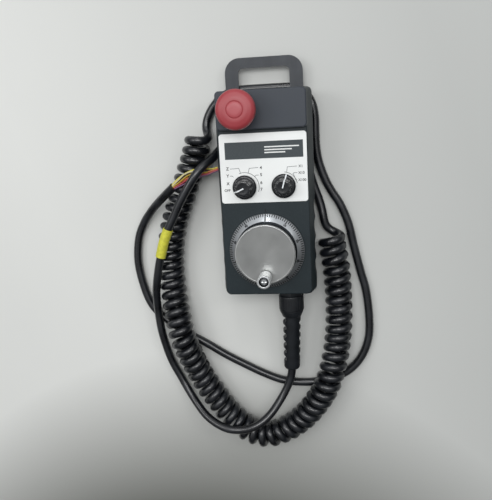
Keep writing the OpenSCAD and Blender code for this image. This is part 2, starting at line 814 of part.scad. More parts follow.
front_shell();
back_shell();
shell_screws();
hanger_loop();
hanger_screws();
faceplate();
axis_knob();
axis_switch_shaft();
axis_switch();
axis_switch_nut();
multiplier_knob();
multiplier_switch_shaft();
multiplier_switch();
multiplier_switch_nut();
stop_head();
stop_plunger();
stop_bezel();
stop_locknut();
stop_spring();
stop_contact_block();
dial_ring();
wheel_drum();
wheel_disc();
wheel_shaft();
code_disc();
crank_axle();
crank_handle();
encoder_body();
encoder_cover();
encoder_bearings();
encoder_reader();
encoder_screws();
terminal_board();
terminal_strips();
board_screws();
gland_body();
gland_nut();
gland_locknut();
bend_relief();
lead_cable();
cable_marker();
curly_cord();
tail_cable();
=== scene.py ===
# %% [markdown]
# # A handwheel pendant for a machine, dressed piece by piece
# The solid model of the pendant is loaded first and never changed. Every piece
# made here is placed from it, in metres, with X across the pendant, Y towards
# its hanger loop and Z out of its panel.

import math

import bmesh
import bpy
from mathutils import Matrix, Vector


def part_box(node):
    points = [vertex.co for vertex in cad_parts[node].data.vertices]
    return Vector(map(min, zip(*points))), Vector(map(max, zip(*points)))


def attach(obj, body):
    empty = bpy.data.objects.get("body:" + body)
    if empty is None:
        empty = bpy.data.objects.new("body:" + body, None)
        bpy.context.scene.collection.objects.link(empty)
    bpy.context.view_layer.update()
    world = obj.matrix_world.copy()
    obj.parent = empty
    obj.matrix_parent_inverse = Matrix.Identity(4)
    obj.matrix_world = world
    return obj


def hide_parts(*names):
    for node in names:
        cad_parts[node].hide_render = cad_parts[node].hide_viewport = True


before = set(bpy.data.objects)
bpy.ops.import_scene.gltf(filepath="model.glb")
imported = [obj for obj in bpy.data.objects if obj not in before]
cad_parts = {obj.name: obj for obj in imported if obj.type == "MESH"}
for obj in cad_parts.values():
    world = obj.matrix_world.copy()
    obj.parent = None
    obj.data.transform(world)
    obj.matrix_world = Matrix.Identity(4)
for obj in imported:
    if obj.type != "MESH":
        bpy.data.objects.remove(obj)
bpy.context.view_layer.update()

# %% [markdown]
# Lengths below are in millimetres, as on a drawing, and become metres in one
# place, where a finished mesh is handed to its object. Centres are read from
# the solid model, so nothing here can drift away from it.

# %% Millimetres and centres
MM = 0.001


def span(node):
    """Lowest and highest corner of a solid, in millimetres."""
    low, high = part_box(node)
    return low / MM, high / MM


def middle(node):
    low, high = span(node)
    return (low + high) / 2


def top_of(node):
    return span(node)[1].z


wheel = middle("wheel_disc")
crank = middle("crank_handle")
stop = middle("stop_head")
axis_spot = middle("axis_switch_shaft")
multiplier_spot = middle("multiplier_switch_shaft")
label_top = top_of("faceplate")
print("wheel at", [round(n, 1) for n in wheel], "stop at", [round(n, 1) for n in stop])

# %% [markdown]
# ## A small language for finishes
# A finish is a graph of shader nodes. Written as sums of sockets it reads like
# the formula it is, so a thin class stands for one socket and adds the Math
# nodes for +, -, * and the rest.

# %% Sockets that can be added up
class Tone:
    """One output socket of a finish, usable in arithmetic."""

    def __init__(self, finish, socket):
        self.finish, self.socket = finish, socket

    def sum_with(self, operation, *values, clamp=False):
        return self.finish.node("ShaderNodeMath", dict(operation=operation, use_clamp=clamp), *values)

    def __add__(self, other):
        return self.sum_with("ADD", self, other)

    def __sub__(self, other):
        return self.sum_with("SUBTRACT", self, other)

    def __rsub__(self, other):
        return self.sum_with("SUBTRACT", other, self)

    def __mul__(self, other):
        return self.sum_with("MULTIPLY", self, other)

    def __pow__(self, other):
        return self.sum_with("POWER", self, other)

    def __gt__(self, other):
        return self.sum_with("GREATER_THAN", self, other)

    def __lt__(self, other):
        return self.sum_with("LESS_THAN", self, other)

    __radd__, __rmul__ = __add__, __mul__

    def sine(self):
        return self.sum_with("SINE", self)

    def limited(self):
        return self.sum_with("ADD", self, 0.0, clamp=True)

    def between(self, low, high):
        """0 below low, 1 above high, and a straight rise in between."""
        return ((self - low) * (1 / (high - low))).limited()

# %% [markdown]
# A finish keeps its material, one method that adds any node, and a few
# patterns that the pieces share: a noise, a blend of two colours, and a bump.
# Hex colours are turned into the linear values that the shader expects.

# %% A finish
def paint(code):
    """A linear colour, opaque, from a six-digit hex code."""
    parts = [int(code[i:i + 2], 16) / 255 for i in (0, 2, 4)]
    return [c / 12.92 if c <= 0.04045 else ((c + 0.055) / 1.055) ** 2.4 for c in parts] + [1.0]


class Finish:
    """A material under construction: its tree, its shader and a way to add nodes."""

    def __init__(self, name, colour, roughness=0.5, metallic=0.0, **plain):
        self.material = bpy.data.materials.new(name)
        self.material.use_nodes = True
        self.tree = self.material.node_tree
        self.shader = self.tree.nodes["Principled BSDF"]
        self.set(base_color=paint(colour), roughness=roughness, metallic=metallic, **plain)

    def feed(self, socket, value):
        if isinstance(value, Tone):
            self.tree.links.new(value.socket, socket)
        else:
            socket.default_value = value

    def set(self, **values):
        for name, value in values.items():
            self.feed(self.shader.inputs[name.replace("_", " ").title().replace("Ior", "IOR")], value)
        return self

    def node(self, kind, settings=None, *values, out=0, **named):
        """Adds a node: its settings first, then its sockets by order or by name."""
        node = self.tree.nodes.new(kind)
        for key, value in (settings or {}).items():
            setattr(node, key, value)
        for socket, value in zip(node.inputs, values):
            self.feed(socket, value)
        for name, value in named.items():
            self.feed(node.inputs[name.replace("_", " ").title()], value)
        return Tone(self, node.outputs[out])

    def place(self):
        """Where a point is on the pendant, as a vector in metres."""
        return self.node("ShaderNodeTexCoord", out=3)

    def axes(self):
        """How far a point is along X, Y and Z, in millimetres."""
        split = self.node("ShaderNodeSeparateXYZ", None, self.place())
        outputs = split.socket.node.outputs
        return [Tone(self, outputs[i]) * (1 / MM) for i in range(3)]

    def from_axis(self, spot):
        """How far a point is from the upright axis through a spot, in millimetres."""
        x, y, _ = self.axes()
        return ((x - spot[0]) ** 2 + (y - spot[1]) ** 2) ** 0.5

    def noise(self, per_mm, detail=3.0, roughness=0.5, stretch=(1, 1, 1)):
        """Noise from 0 to 1, with per_mm lumps in a millimetre."""
        spot = self.node("ShaderNodeMapping", None, Vector=self.place(), Scale=stretch)
        return self.node("ShaderNodeTexNoise", None, Vector=spot, Scale=per_mm / MM,
                         Detail=detail, Roughness=roughness)

    def mix(self, share, a, b):
        """Colour a turning into colour b as share goes from 0 to 1."""
        node = self.tree.nodes.new("ShaderNodeMix")
        node.data_type = "RGBA"
        for index, value in ((0, share), (6, a), (7, b)):
            self.feed(node.inputs[index], paint(value) if isinstance(value, str) else value)
        return Tone(self, node.outputs[2])

    def bump(self, height, strength=0.3, distance=0.05):
        """Raises the surface by height times distance, in millimetres."""
        normal = self.node("ShaderNodeBump", None, Strength=strength, Distance=distance * MM, Height=height)
        return self.set(normal=normal)

# %% [markdown]
# Many plastics, paints and platings differ only in numbers: two close colours
# drift into each other in soft lumps, the roughness drifts with them, and a
# fine grain covers everything. One function makes them all. A finish that
# needs more, such as lathe marks, is written out where it is used.

# %% A mottled finish
def mottled(name, colour, light, roughness, lumps, grain=None, **plain):
    """roughness: base and rise; lumps: per mm, detail, low, high; grain: per mm, detail, strength, depth."""
    base, rise = roughness
    per_mm, detail, low, high = lumps
    finish = Finish(name, colour, roughness=base, **plain)
    cloud = finish.noise(per_mm, detail=detail).between(low, high)
    finish.set(base_color=finish.mix(cloud, colour, light), roughness=base + cloud * rise)
    if grain:
        per_mm, detail, strength, depth = grain
        finish.bump(finish.noise(per_mm, detail=detail), strength=strength, distance=depth)
    return finish.material


def plastic(name, colour="17191c", light="24272b", roughness=0.36, per_mm=1.6):
    return mottled(name, colour, light, (roughness, 0.14), (0.1, 4, 0.35, 0.7), (per_mm, 2, 0.3, 0.04))


def metal(name, colour, light, roughness=0.3):
    return mottled(name, colour, light, (roughness, 0.12), (0.3, 4, 0.3, 0.75), (4.0, 2, 0.2, 0.02),
                   metallic=1.0)


print("plain finishes come from", mottled.__name__, plastic.__name__, metal.__name__)

# %% [markdown]
# ## Camera, table and light
# The camera stands nearly straight above the pendant, about 60 cm away, and is
# tilted a little, so the sides of the housing lean outwards in the view. It
# comes first, because the length of cable that it sees decides how the rest of
# the cable may lie.

# %% Camera
scene = bpy.context.scene
camera = bpy.data.objects.new("camera", bpy.data.cameras.new("camera"))
camera.location = Vector((66.8, 71.9, 664.4)) * MM
camera.rotation_euler = [math.radians(a) for a in (-12.531, 7.608, -2.988)]
camera.data.lens = 44.45
scene.collection.objects.link(camera)
scene.camera = camera
scene.view_settings.view_transform = "Standard"
print("camera", round(camera.location.z, 2), "m above the table")

# %% [markdown]
# The table is one large pale sheet. Its colour carries painted light: it is
# brightest at the left, with a painted falloff towards the right, and a painted
# shadow towards the near edge, where whoever stands at the table is in the light.

# %% Table
def table_top():
    bm = bmesh.new()
    bmesh.ops.create_grid(bm, x_segments=8, y_segments=8, size=4.0)
    mesh = bpy.data.meshes.new("table")
    bm.to_mesh(mesh)
    bm.free()
    table = bpy.data.objects.new("table", mesh)
    scene.collection.objects.link(table)
    finish = Finish("table_laminate", "d3d4d0", roughness=0.55)
    x, y, _ = finish.axes()
    cloud = finish.noise(0.004, detail=4)
    # Painted light: a painted falloff towards the right and a painted shadow at the near edge.
    painted_falloff_to_right = (x + y * 0.35).between(-260, 220)
    painted_shadow_near_edge = (0 - y - (x + 90) ** 2 * 0.0013).between(190, 390)
    pale = finish.mix(cloud, "d9dad6", "e1e2de")
    finish.set(base_color=finish.mix(painted_shadow_near_edge, finish.mix(painted_falloff_to_right * 0.8, pale, "b0b2af"), "6f706b"))
    finish.bump(finish.noise(0.5, detail=2), strength=0.1, distance=0.05)
    mesh.materials.append(finish.material)


table_top()

# %% [markdown]
# The light is the even light of a room. Most of it comes from the ceiling, the
# walls are dim, there is a window beyond the hanger, and whoever leans over the
# table takes a little away straight above. Four weak lamps give the glossy
# pieces their highlights.

# %% Lamps
def soft_lamp(name, place, size, watts):
    """A rectangle of light at a place in metres, aimed at the pendant."""
    data = bpy.data.lights.new(name, "AREA")
    data.shape, data.size, data.size_y, data.energy = "RECTANGLE", size[0], size[1], watts
    lamp = bpy.data.objects.new(name, data)
    lamp.location = place
    lamp.rotation_euler = (-Vector(place)).to_track_quat("-Z", "Y").to_euler()
    scene.collection.objects.link(lamp)
    print(name, watts, "W")


soft_lamp("ceiling_lamp", (0.05, 0.5, 1.8), (1.1, 0.6), 12)
soft_lamp("window_lamp", (-0.1, 1.5, 1.15), (0.3, 0.25), 2)
soft_lamp("left_lamp", (-1.0, 0.4, 1.4), (0.4, 0.6), 3.5)
soft_lamp("right_lamp", (0.9, 0.5, 1.2), (0.2, 0.3), 1.6)

# %% [markdown]
# What glossy plastic and bare metal show is the room itself, so the room is a
# finish too. Each part of it is a soft patch round a direction, and the patches
# are added or taken away like any other tones.

# %% Room
class Room(Finish):
    """The surround, written with the same sockets as a finish."""

    def __init__(self, name, tint):
        self.material = bpy.data.worlds.new(name)
        self.material.use_nodes = True
        self.tree = self.material.node_tree
        self.shader = self.tree.nodes["Background"]
        self.set(color=paint(tint))

    def towards(self, x, y, z):
        """The cosine of the angle between a ray and a direction."""
        ray = self.node("ShaderNodeTexCoord", out=0)
        return self.node("ShaderNodeVectorMath", dict(operation="DOT_PRODUCT"), ray,
                         Vector((x, y, z)).normalized(), out=1)


room = Room("room", "fafcff")
ceiling = room.towards(0, 0, 1).between(0.25, 0.7) * 0.85 + 0.12
window = room.towards(-0.2, 1, 0.35).between(0.7, 0.97) * 0.3
person = room.towards(-0.02, -0.08, 1).between(0.94, 0.995) * 0.4
near_side = room.towards(0, -1, 0.25).between(0.05, 0.75) * 0.75
right_side = room.towards(1, -0.15, 0.4).between(0.6, 0.98) * 0.65
room.set(strength=(ceiling + window) * (1 - person) * (1 - near_side) * (1 - right_side) * 0.98)
scene.world = room.material

# %% [markdown]
# ## The cable
# The pendant hangs on one cable of 9 mm, whose middle is wound into a curl. It
# leaves the gland as a straight lead, sweeps round to the hanger end, passes
# under the hanger plate, curls all the way round the pendant and ends as a
# straight tail with its cores laid bare. It is one length of cable, so it is
# one curve of one spline: the three routes are the same round points that the
# solid model has, and the turns are wound round the middle one.

# %% Routes of the cable
LEAD = [(18.5, -196.3, 20.1), (18.2, -204, 18.8), (16.6, -214, 17.4), (12, -227, 17.3),
        (4, -241, 21), (-8, -256, 29), (-22, -266, 35), (-38, -271, 36.5), (-58, -270, 35.5),
        (-80, -261, 26.5), (-98, -244, 14), (-112, -222, 7.5), (-122, -200, 8),
        (-127, -178, 11.5), (-129.5, -160, 14.4), (-131, -142, 15), (-130.5, -128, 19),
        (-129, -116, 24.5), (-126.5, -104, 29), (-123, -90, 33), (-117.5, -70, 35.6),
        (-112.5, -54, 36.2), (-106.5, -40, 36.6), (-100, -28, 37), (-91, -11, 37.5),
        (-81, 5, 37.5), (-72.5, 17, 36.5), (-65, 25, 32), (-57.5, 31, 24), (-53.5, 36, 14.5),
        (-49, 42, 8.5), (-45.5, 49, 5.8), (-42.6, 57.5, 4.8), (-41, 67, 4.7), (-39, 79.5, 4.7),
        (-30, 88.5, 4.7), (-17, 91, 4.7), (17, 91, 4.7), (30, 88.5, 4.7), (39, 79.5, 4.7),
        (41, 67, 4.7), (41, 53, 4.7), (41, 38, 4.7), (41.5, 24, 4.7), (44, 10, 4.7),
        (48, -4, 4.7), (52.5, -17, 5), (56, -30, 6.2), (58, -44, 8.3)]
CURL = [(65, -44, 15.3), (65.5, -64, 15.3), (69, -88, 15.3), (71, -118, 15.3), (71, -146, 16),
        (69, -172, 19), (64, -198, 24), (56, -222, 26), (44, -244, 21.5), (29, -264, 17),
        (10, -279, 15.3), (-12, -287, 15.3), (-33, -282, 15.3), (-53, -265, 15.3),
        (-69, -243, 15.3), (-84, -218, 16), (-94, -192, 21), (-102, -166, 25.3),
        (-107, -140, 22), (-111, -112, 16), (-112, -84, 15.3), (-109, -56, 15.3),
        (-103, -32, 15.3), (-94, -9, 15.3), (-85, 14, 15.3), (-78.5, 30, 15.3), (-74.5, 42, 15.3),
        (-71, 53, 15.3), (-68.5, 64, 15.3)]
TAIL = [(-66, 64.6, 5.2), (-62.5, 74, 4.7), (-57, 83, 4.7), (-49, 91.5, 4.7), (-40, 97, 4.7),
        (-29, 99.8, 4.7), (-17, 100.4, 4.7), (17, 100.4, 4.7), (29, 99.8, 4.7), (40, 95, 4.7),
        (47.5, 84, 4.7), (50.4, 70, 4.7), (50.6, 54, 4.7), (51, 38, 4.7), (53.5, 22, 4.7), (59.5, 4, 4.7),
        (66.5, -10, 4.7), (74.5, -23, 4.7), (83, -44, 4.7), (88.5, -69, 4.7), (95, -96, 4.7),
        (101, -120, 4.7), (104, -150, 4.7), (103, -174, 4.7), (95, -196, 4.7),
        (80, -213, 4.7), (58, -223, 4.7), (34, -227, 4.7), (8, -225, 4.7),
        (-14, -217, 4.7), (-36, -206, 4.7), (-58, -194, 4.7),
        (-80, -180, 4.7), (-104, -166, 4.7), (-126, -150, 4.7), (-141, -133, 4.7),
        (-149, -110, 4.7), (-153, -82, 4.7), (-150, -56, 4.7), (-142, -38, 6.5),
        (-130, -23, 13), (-117, -11, 22), (-106, -2, 29.5), (-98, 4.5, 33.5)]
CABLE_D = 9
CURL_D = 30

# %% [markdown]
# A route's points are 8 to 34 mm apart, so a smooth curve is passed through
# them first. Each stretch between two points is a cubic whose slopes come from
# the neighbours, which is the usual way to ease a drawn line.

# %% A smooth line through a route
def eased(points, step=3.0):
    """Points about step millimetres apart on a smooth curve through the given ones."""
    stops = [Vector(p) for p in points]
    stops = [2 * stops[0] - stops[1]] + stops + [2 * stops[-1] - stops[-2]]
    line = []
    for before, a, b, after in zip(stops, stops[1:], stops[2:], stops[3:]):
        pieces = max(2, round((b - a).length / step))
        for i in range(pieces):
            t = i / pieces
            line.append(0.5 * (2 * a + (b - before) * t + (2 * before - 5 * a + 4 * b - after) * t * t
                               + (3 * a - before - 3 * b + after) * t ** 3))
    return line + [stops[-2]]


def length_of(line):
    return sum((b - a).length for a, b in zip(line, line[1:]))


print("straight lead", round(length_of(eased(LEAD))), "mm, tail", round(length_of(eased(TAIL))), "mm")

# %% [markdown]
# A curl is wound like a spring: the angle grows as the axis is followed. At
# both ends the straight cable runs along the curl, so the angle starts and
# stops slowly, and the cable swings into its first turn instead of kinking.
# The pitch wavers a little on the way, as it does in a curl that has been used.

# %% Winding the curl
def frames_along(line):
    """A point, a direction and two cross directions, carried along without twist."""
    side = None
    for i, point in enumerate(line):
        ahead = (line[min(i + 1, len(line) - 1)] - line[max(i - 1, 0)]).normalized()
        side = ahead.orthogonal() if side is None else side
        side = (side - ahead * side.dot(ahead)).normalized()
        yield point, ahead, side, ahead.cross(side)


def wound(axis, start, end, pitch=10.9, step=2.7, swing=16.0, fine_step=0.4):
    """A helix round the axis from the point start to the point end."""
    radius = (CURL_D - CABLE_D) / 2
    fine = list(frames_along(eased(axis, step=fine_step)))
    total = fine_step * len(fine)
    rates = []
    for i in range(len(fine)):
        walked = fine_step * i
        ease = min(1.0, walked / swing, (total - walked) / swing) ** 1.3
        rates.append(ease * (1 + 0.05 * math.sin(walked * 0.11) + 0.03 * math.sin(walked * 0.37 + 2)))
    point, _, side, up = fine[0]
    first = math.atan2((start - point).dot(up), (start - point).dot(side))
    point, _, side, up = fine[-1]
    last = math.atan2((end - point).dot(up), (end - point).dot(side))
    swept = sum(rates) * fine_step / pitch * 2 * math.pi
    swept += (last - first - swept + math.pi) % (2 * math.pi) - math.pi
    turn, line = first, []
    for (point, _, side, up), rate in zip(fine, rates):
        spot = point + radius * (side * math.cos(turn) + up * math.sin(turn))
        if not line or (spot - line[-1]).length > step:
            line.append(spot)
        turn += swept * rate / sum(rates)
    print("curl:", round(swept / 2 / math.pi), "turns,", round(length_of(line) / 1000, 2), "m")
    return line


curl_line = wound(CURL, Vector(LEAD[-1]), Vector(TAIL[0]))

# %% [markdown]
# The sheath is glossy black PVC. Seen closely it is a little uneven from the
# extruder, and it has dull patches where hands and benches have rubbed it.

# %% Cable sheath
def cable_sheath(colour="0c0e12", worn="1a1d22", roughness=0.24):
    """Glossy black, a little dull where it is rubbed."""
    finish = Finish("black_pvc", colour, roughness=roughness, coat_weight=0.4, coat_roughness=0.1)
    rubbed = finish.noise(0.06, detail=4).between(0.42, 0.72)
    grain = finish.noise(1.2, detail=2)
    dulled = roughness + rubbed * 0.18 + grain * 0.06
    finish.set(base_color=finish.mix(rubbed, colour, worn), roughness=dulled)
    finish.bump(finish.noise(0.8, detail=3), strength=0.25, distance=0.05)
    return finish.material


sheath = cable_sheath()
print("sheath:", sheath.name)

# %% [markdown]
# The three stretches become one line. Where straight cable swings into the
# curl, the line's points are drawn towards their neighbours a few times, the
# way a stiff cable eases a bend by itself, and a point too many is left out.

# %% The whole cable
def strand(name, line, diameter, material, sides=10):
    """A round cord along a line, as a curve of one spline, in metres."""
    data = bpy.data.curves.new(name, "CURVE")
    data.dimensions = "3D"
    data.bevel_depth = diameter / 2 * MM
    data.bevel_resolution = sides // 2
    data.use_fill_caps = True
    data.twist_mode = "MINIMUM"
    spline = data.splines.new("POLY")
    spline.points.add(len(line) - 1)
    for point, place in zip(spline.points, line):
        point.co = (*(place * MM), 1)
    spline.use_smooth = True
    data.materials.append(material)
    piece = bpy.data.objects.new(name, data)
    scene.collection.objects.link(piece)
    return piece


def relaxed(line, joint, reach=9, rounds=8):
    """The line with its points near a joint drawn towards their neighbours, so that no bend is sharp."""
    centre = min(range(len(line)), key=lambda i: (line[i] - Vector(joint)).length)
    for _ in range(rounds):
        near = {}
        for i in range(centre - reach, centre + reach + 1):
            pull = 1 - ((i - centre) / (reach + 1)) ** 2
            near[i] = line[i].lerp((line[i - 1] + line[i + 1]) / 2, 0.6 * pull)
        line = [near.get(i, spot) for i, spot in enumerate(line)]
    return line


too_near = 2.5
inner_curl = [spot for spot in curl_line if (spot - Vector(TAIL[0])).length > too_near]
cable_line = relaxed(relaxed(eased(LEAD)[:-1] + inner_curl + eased(TAIL), LEAD[-1]), TAIL[0])
cable = strand("pendant_cable", cable_line, CABLE_D, sheath)
print("cable", round(length_of(cable_line) / 1000, 2), "m in", len(cable_line), "points")

# %% [markdown]
# ## Making pieces
# Every hard piece is drawn in a bmesh, in millimetres, and handed over in one
# place: doubles merged, faces turned outwards, scaled to metres, shaded smooth
# except at sharp edges, and set to ride on a body of the solid model.

# %% From a bmesh to a piece
def finished(bm, name, body, material, replaces=(), angle=30, even=False):
    """A piece on a body; even keeps large flat faces flat where they meet a rounded edge."""
    bmesh.ops.remove_doubles(bm, verts=bm.verts, dist=0.002)
    bmesh.ops.recalc_face_normals(bm, faces=bm.faces)
    bmesh.ops.scale(bm, vec=(MM, MM, MM), verts=bm.verts)
    mesh = bpy.data.meshes.new(name)
    bm.to_mesh(mesh)
    bm.free()
    mesh.shade_smooth()
    mesh.set_sharp_from_angle(angle=math.radians(angle))
    mesh.materials.append(material)
    piece = bpy.data.objects.new(name, mesh)
    scene.collection.objects.link(piece)
    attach(piece, body)
    if replaces:
        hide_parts(*replaces)
    if even:
        piece.modifiers.new("even_shading", "WEIGHTED_NORMAL").keep_sharp = True
    print(name, len(mesh.polygons), "faces")
    return piece

# %% [markdown]
# Two more helpers cover most of the pendant. A post is a round bar between two
# heights. Carving joins solids and cuts others out of them with Boolean
# modifiers, as the moulds of the real shells do with cores and pins.

# %% Posts and carving
def post(diameter, low, high, at=(0, 0), sides=64, turn=None):
    """A round bar from one height to another; turn then moves it as a whole."""
    bm = bmesh.new()
    place = Matrix.Translation((at[0], at[1], (low + high) / 2))
    bmesh.ops.create_cone(bm, cap_ends=True, segments=sides, radius1=diameter / 2, radius2=diameter / 2,
                          depth=high - low, matrix=(turn or Matrix()) @ place)
    return bm


def add_block(bm, size, place):
    """A block of a size, centred where the matrix puts it."""
    bmesh.ops.create_cube(bm, size=1, matrix=place @ Matrix.Diagonal((*size, 1)))
    return bm


def box_block(size, at):
    return add_block(bmesh.new(), size, Matrix.Translation(at))


def helper_object(bm):
    """A passing object for a Boolean modifier, which carved() removes again."""
    bmesh.ops.recalc_face_normals(bm, faces=bm.faces)
    mesh = bpy.data.meshes.new("helper")
    bm.to_mesh(mesh)
    bm.free()
    solid = bpy.data.objects.new("helper", mesh)
    scene.collection.objects.link(solid)
    return solid


def carved(solid, joined=(), cut=()):
    """solid with some closed meshes joined to it and others cut out, as a new bmesh."""
    base = helper_object(solid)
    tools = []
    for operation, others in (("UNION", joined), ("DIFFERENCE", cut)):
        for other in others:
            tools.append(helper_object(other))
            step = base.modifiers.new("carve", "BOOLEAN")
            step.operation, step.solver, step.object = operation, "EXACT", tools[-1]
    result = bmesh.new()
    result.from_object(base, bpy.context.evaluated_depsgraph_get())
    for tool in tools + [base]:
        bpy.data.objects.remove(tool)
    return result

# %% [markdown]
# ## The two shells
# The housing is two mouldings that meet in a line 34 mm above the back. Each
# is lofted through rounded rectangles, given as height, half width, top end,
# bottom end and corner radius, and the last few levels of an edge follow a
# quarter of an ellipse, because a moulded edge is never sharp.

# %% Lofting a shell
front_low, front_high = span("front_shell")
half_w, top_y, bottom_y = front_high.x, front_high.y, front_low.y
joint_z, raised_z = front_low.z, front_high.z
face_z = span("faceplate")[0].z
step_y = span("faceplate")[1].y + 3.45
half_face, WALL = 44.3, 2.5
STOP_HOLE, WHEEL_HOLE, SWITCH_HOLE = 22.5, 30.4, 9.8
print("housing", round(2 * half_w, 1), "x", round(top_y - bottom_y, 1), "panel at", round(face_z, 1))


def edges_of(bm, ring):
    return [edge for edge in bm.edges if edge.verts[0] in ring and edge.verts[1] in ring]


def bridged(bm, rings):
    """Walls from each ring of edges to the next, and a face over both ends."""
    for lower, upper in zip(rings, rings[1:]):
        bmesh.ops.bridge_loops(bm, edges=lower + upper)
    bmesh.ops.holes_fill(bm, edges=rings[0] + rings[-1], sides=0)
    return bm


def level(bm, z, half, top, bottom, radius, per_corner=8):
    """One rounded rectangle of edges at height z."""
    ring = bmesh.ops.create_circle(bm, radius=1, segments=4 * per_corner)["verts"]
    for i, vert in enumerate(ring):
        corner, step = divmod(i, per_corner)
        turn = math.radians(90 * corner + 90 * step / (per_corner - 1))
        across = half - radius if corner in (0, 3) else radius - half
        along = top - radius if corner in (0, 1) else bottom + radius
        vert.co = (across + radius * math.cos(turn), along + radius * math.sin(turn), z)
    return edges_of(bm, ring)


def lofted(levels):
    bm = bmesh.new()
    return bridged(bm, [level(bm, *numbers) for numbers in levels])


def round_over(low, high, steps=5):
    """Levels from low to high along a quarter of an ellipse."""
    turns = [math.pi / 2 * i / steps for i in range(steps + 1)]
    return [[low[0] + (high[0] - low[0]) * math.sin(t)]
            + [b + (a - b) * math.cos(t) for a, b in zip(low[1:], high[1:])] for t in turns]

# %% [markdown]
# Four shallow hollows run down each side, where the fingers hold the housing.
# They are slices of large cylinders, and the same cylinders cut both shells.

# %% Finger hollows and screw places
HOLLOW_PITCH, HOLLOW_DEPTH, HOLLOW_START = 20.4, 1.4, step_y - 82.9
SCREWS = [(x, y) for x in (-40, 40) for y in (top_y - 10.7, bottom_y + 11.3)]
PILLAR_D, SCREW_D, SINK_D = 9, 3.4, 6.6
TAB_X, TAB_Y, TAB_W = 30.15, top_y - 24, 7.7


def finger_hollows():
    radius = (HOLLOW_PITCH ** 2 / 4 + HOLLOW_DEPTH ** 2) / (2 * HOLLOW_DEPTH)
    for side in (-1, 1):
        for i in range(4):
            at = side * (half_w - HOLLOW_DEPTH + radius), HOLLOW_START - i * HOLLOW_PITCH
            yield post(2 * radius, -1, face_z, at, sides=160)


gland = middle("gland_body")
gland_turn = Matrix.Translation((gland.x, bottom_y, gland.z)) @ Matrix.Rotation(math.pi / 2, 4, "X")


def gland_hole():
    return post(16.2, -4, 1, turn=gland_turn)

# %% [markdown]
# The plastic is a dark grey with a fine spark-eroded grain. A soft mottle and a
# few pale specks keep its large faces from looking painted, and the raised end
# is painted a shade lighter than the panel as a painted sheen, which is told by height.

# %% Moulded plastic
def moulded(name, colour, light, raised=None):
    finish = Finish(name, colour, roughness=0.52, specular_ior_level=0.3)
    cloud = finish.noise(0.03, detail=5).between(0.3, 0.75)
    speck = finish.noise(2.2, detail=1).between(0.62, 0.72)
    tone = finish.mix(cloud, colour, light)
    if raised:
        # Painted sheen: the raised top is painted lighter than the panel.
        painted_sheen_on_top = finish.axes()[2].between(face_z + 1.5, face_z + 4.5)
        tone = finish.mix(painted_sheen_on_top, tone, finish.mix(cloud, *raised))
    tone = finish.mix(speck * 0.12, tone, "8a8d90")
    finish.set(base_color=tone, roughness=0.44 + cloud * 0.12 + speck * 0.1)
    finish.bump(finish.noise(1.6, detail=3, roughness=0.6), strength=0.45, distance=0.06)
    return finish.material


# The raised colours are a painted sheen for the raised top.
front_plastic = moulded("front_plastic", "1b2529", "1f2a2e", raised=("393e45", "3f444b"))
back_plastic = moulded("back_plastic", "1b2327", "20282c")
print("plastics:", front_plastic.name, back_plastic.name)

# %% [markdown]
# The front shell is an outside loft with the raised end joined to it and a
# hollow loft cut out of it. Then it gets the four screw pillars and the holes
# for the stop button, the wheel's neck, the two switches and the gland.

# %% Front shell
def front_shell():
    foot = [[joint_z, half_w - 0.5, top_y - 0.5, bottom_y + 0.5, 4.6],
            [joint_z + 0.45, half_w, top_y, bottom_y, 5],
            [face_z - 7, half_w - 3, top_y - 0.7, bottom_y, 5]]
    panel = round_over([face_z - 1.5, half_face, top_y - 1, bottom_y + 1.3, 5],
                       [face_z, half_face - 1.1, top_y - 2.2, bottom_y + 2.6, 4])
    raised = [[face_z - 7, half_w - 3, top_y - 0.7, step_y, 4],
              *round_over([raised_z - 1.8, half_face, top_y - 1, step_y, 4],
                          [raised_z, half_face - 1.6, top_y - 2.6, step_y + 1.4, 3.2])]
    inner = face_z - WALL
    hollow = [[joint_z - 1, half_w - WALL, top_y - WALL, bottom_y + WALL, 4],
              [face_z - 7, half_w - 3 - WALL, top_y - 1 - WALL, bottom_y + WALL, 4],
              [inner, half_face - WALL, top_y - 2 - WALL, bottom_y + 2 + WALL, 4]]
    attic = [[face_z - 7, half_w - 5.5, top_y - 1 - WALL, step_y + WALL, 3],
             [raised_z - WALL, half_face - WALL, top_y - 2 - WALL, step_y + WALL, 3]]
    holes = [post(STOP_HOLE, inner, raised_z + 1, stop), post(WHEEL_HOLE, inner - 1, face_z + 1, wheel)]
    holes += [gland_hole()]
    holes += [post(SWITCH_HOLE, inner - 1, face_z + 1, spot) for spot in (axis_spot, multiplier_spot)]
    pillars = [post(PILLAR_D, joint_z, face_z - 2, spot, sides=32) for spot in SCREWS]
    shell = carved(lofted(foot + panel), joined=[lofted(raised)], cut=[lofted(hollow), lofted(attic)])
    shell = carved(shell, joined=pillars, cut=holes + list(finger_hollows()))
    finished(shell, "front_moulding", "housing", front_plastic, ["front_shell"],
             angle=35, even=True)


front_shell()

# %% [markdown]
# The back shell is a tray. Its lower edge is a wide bevel that slopes in all
# round, so that fingers reach under the pendant, and it ends flat at the back.
# Each level on the slope is worked out from its height.

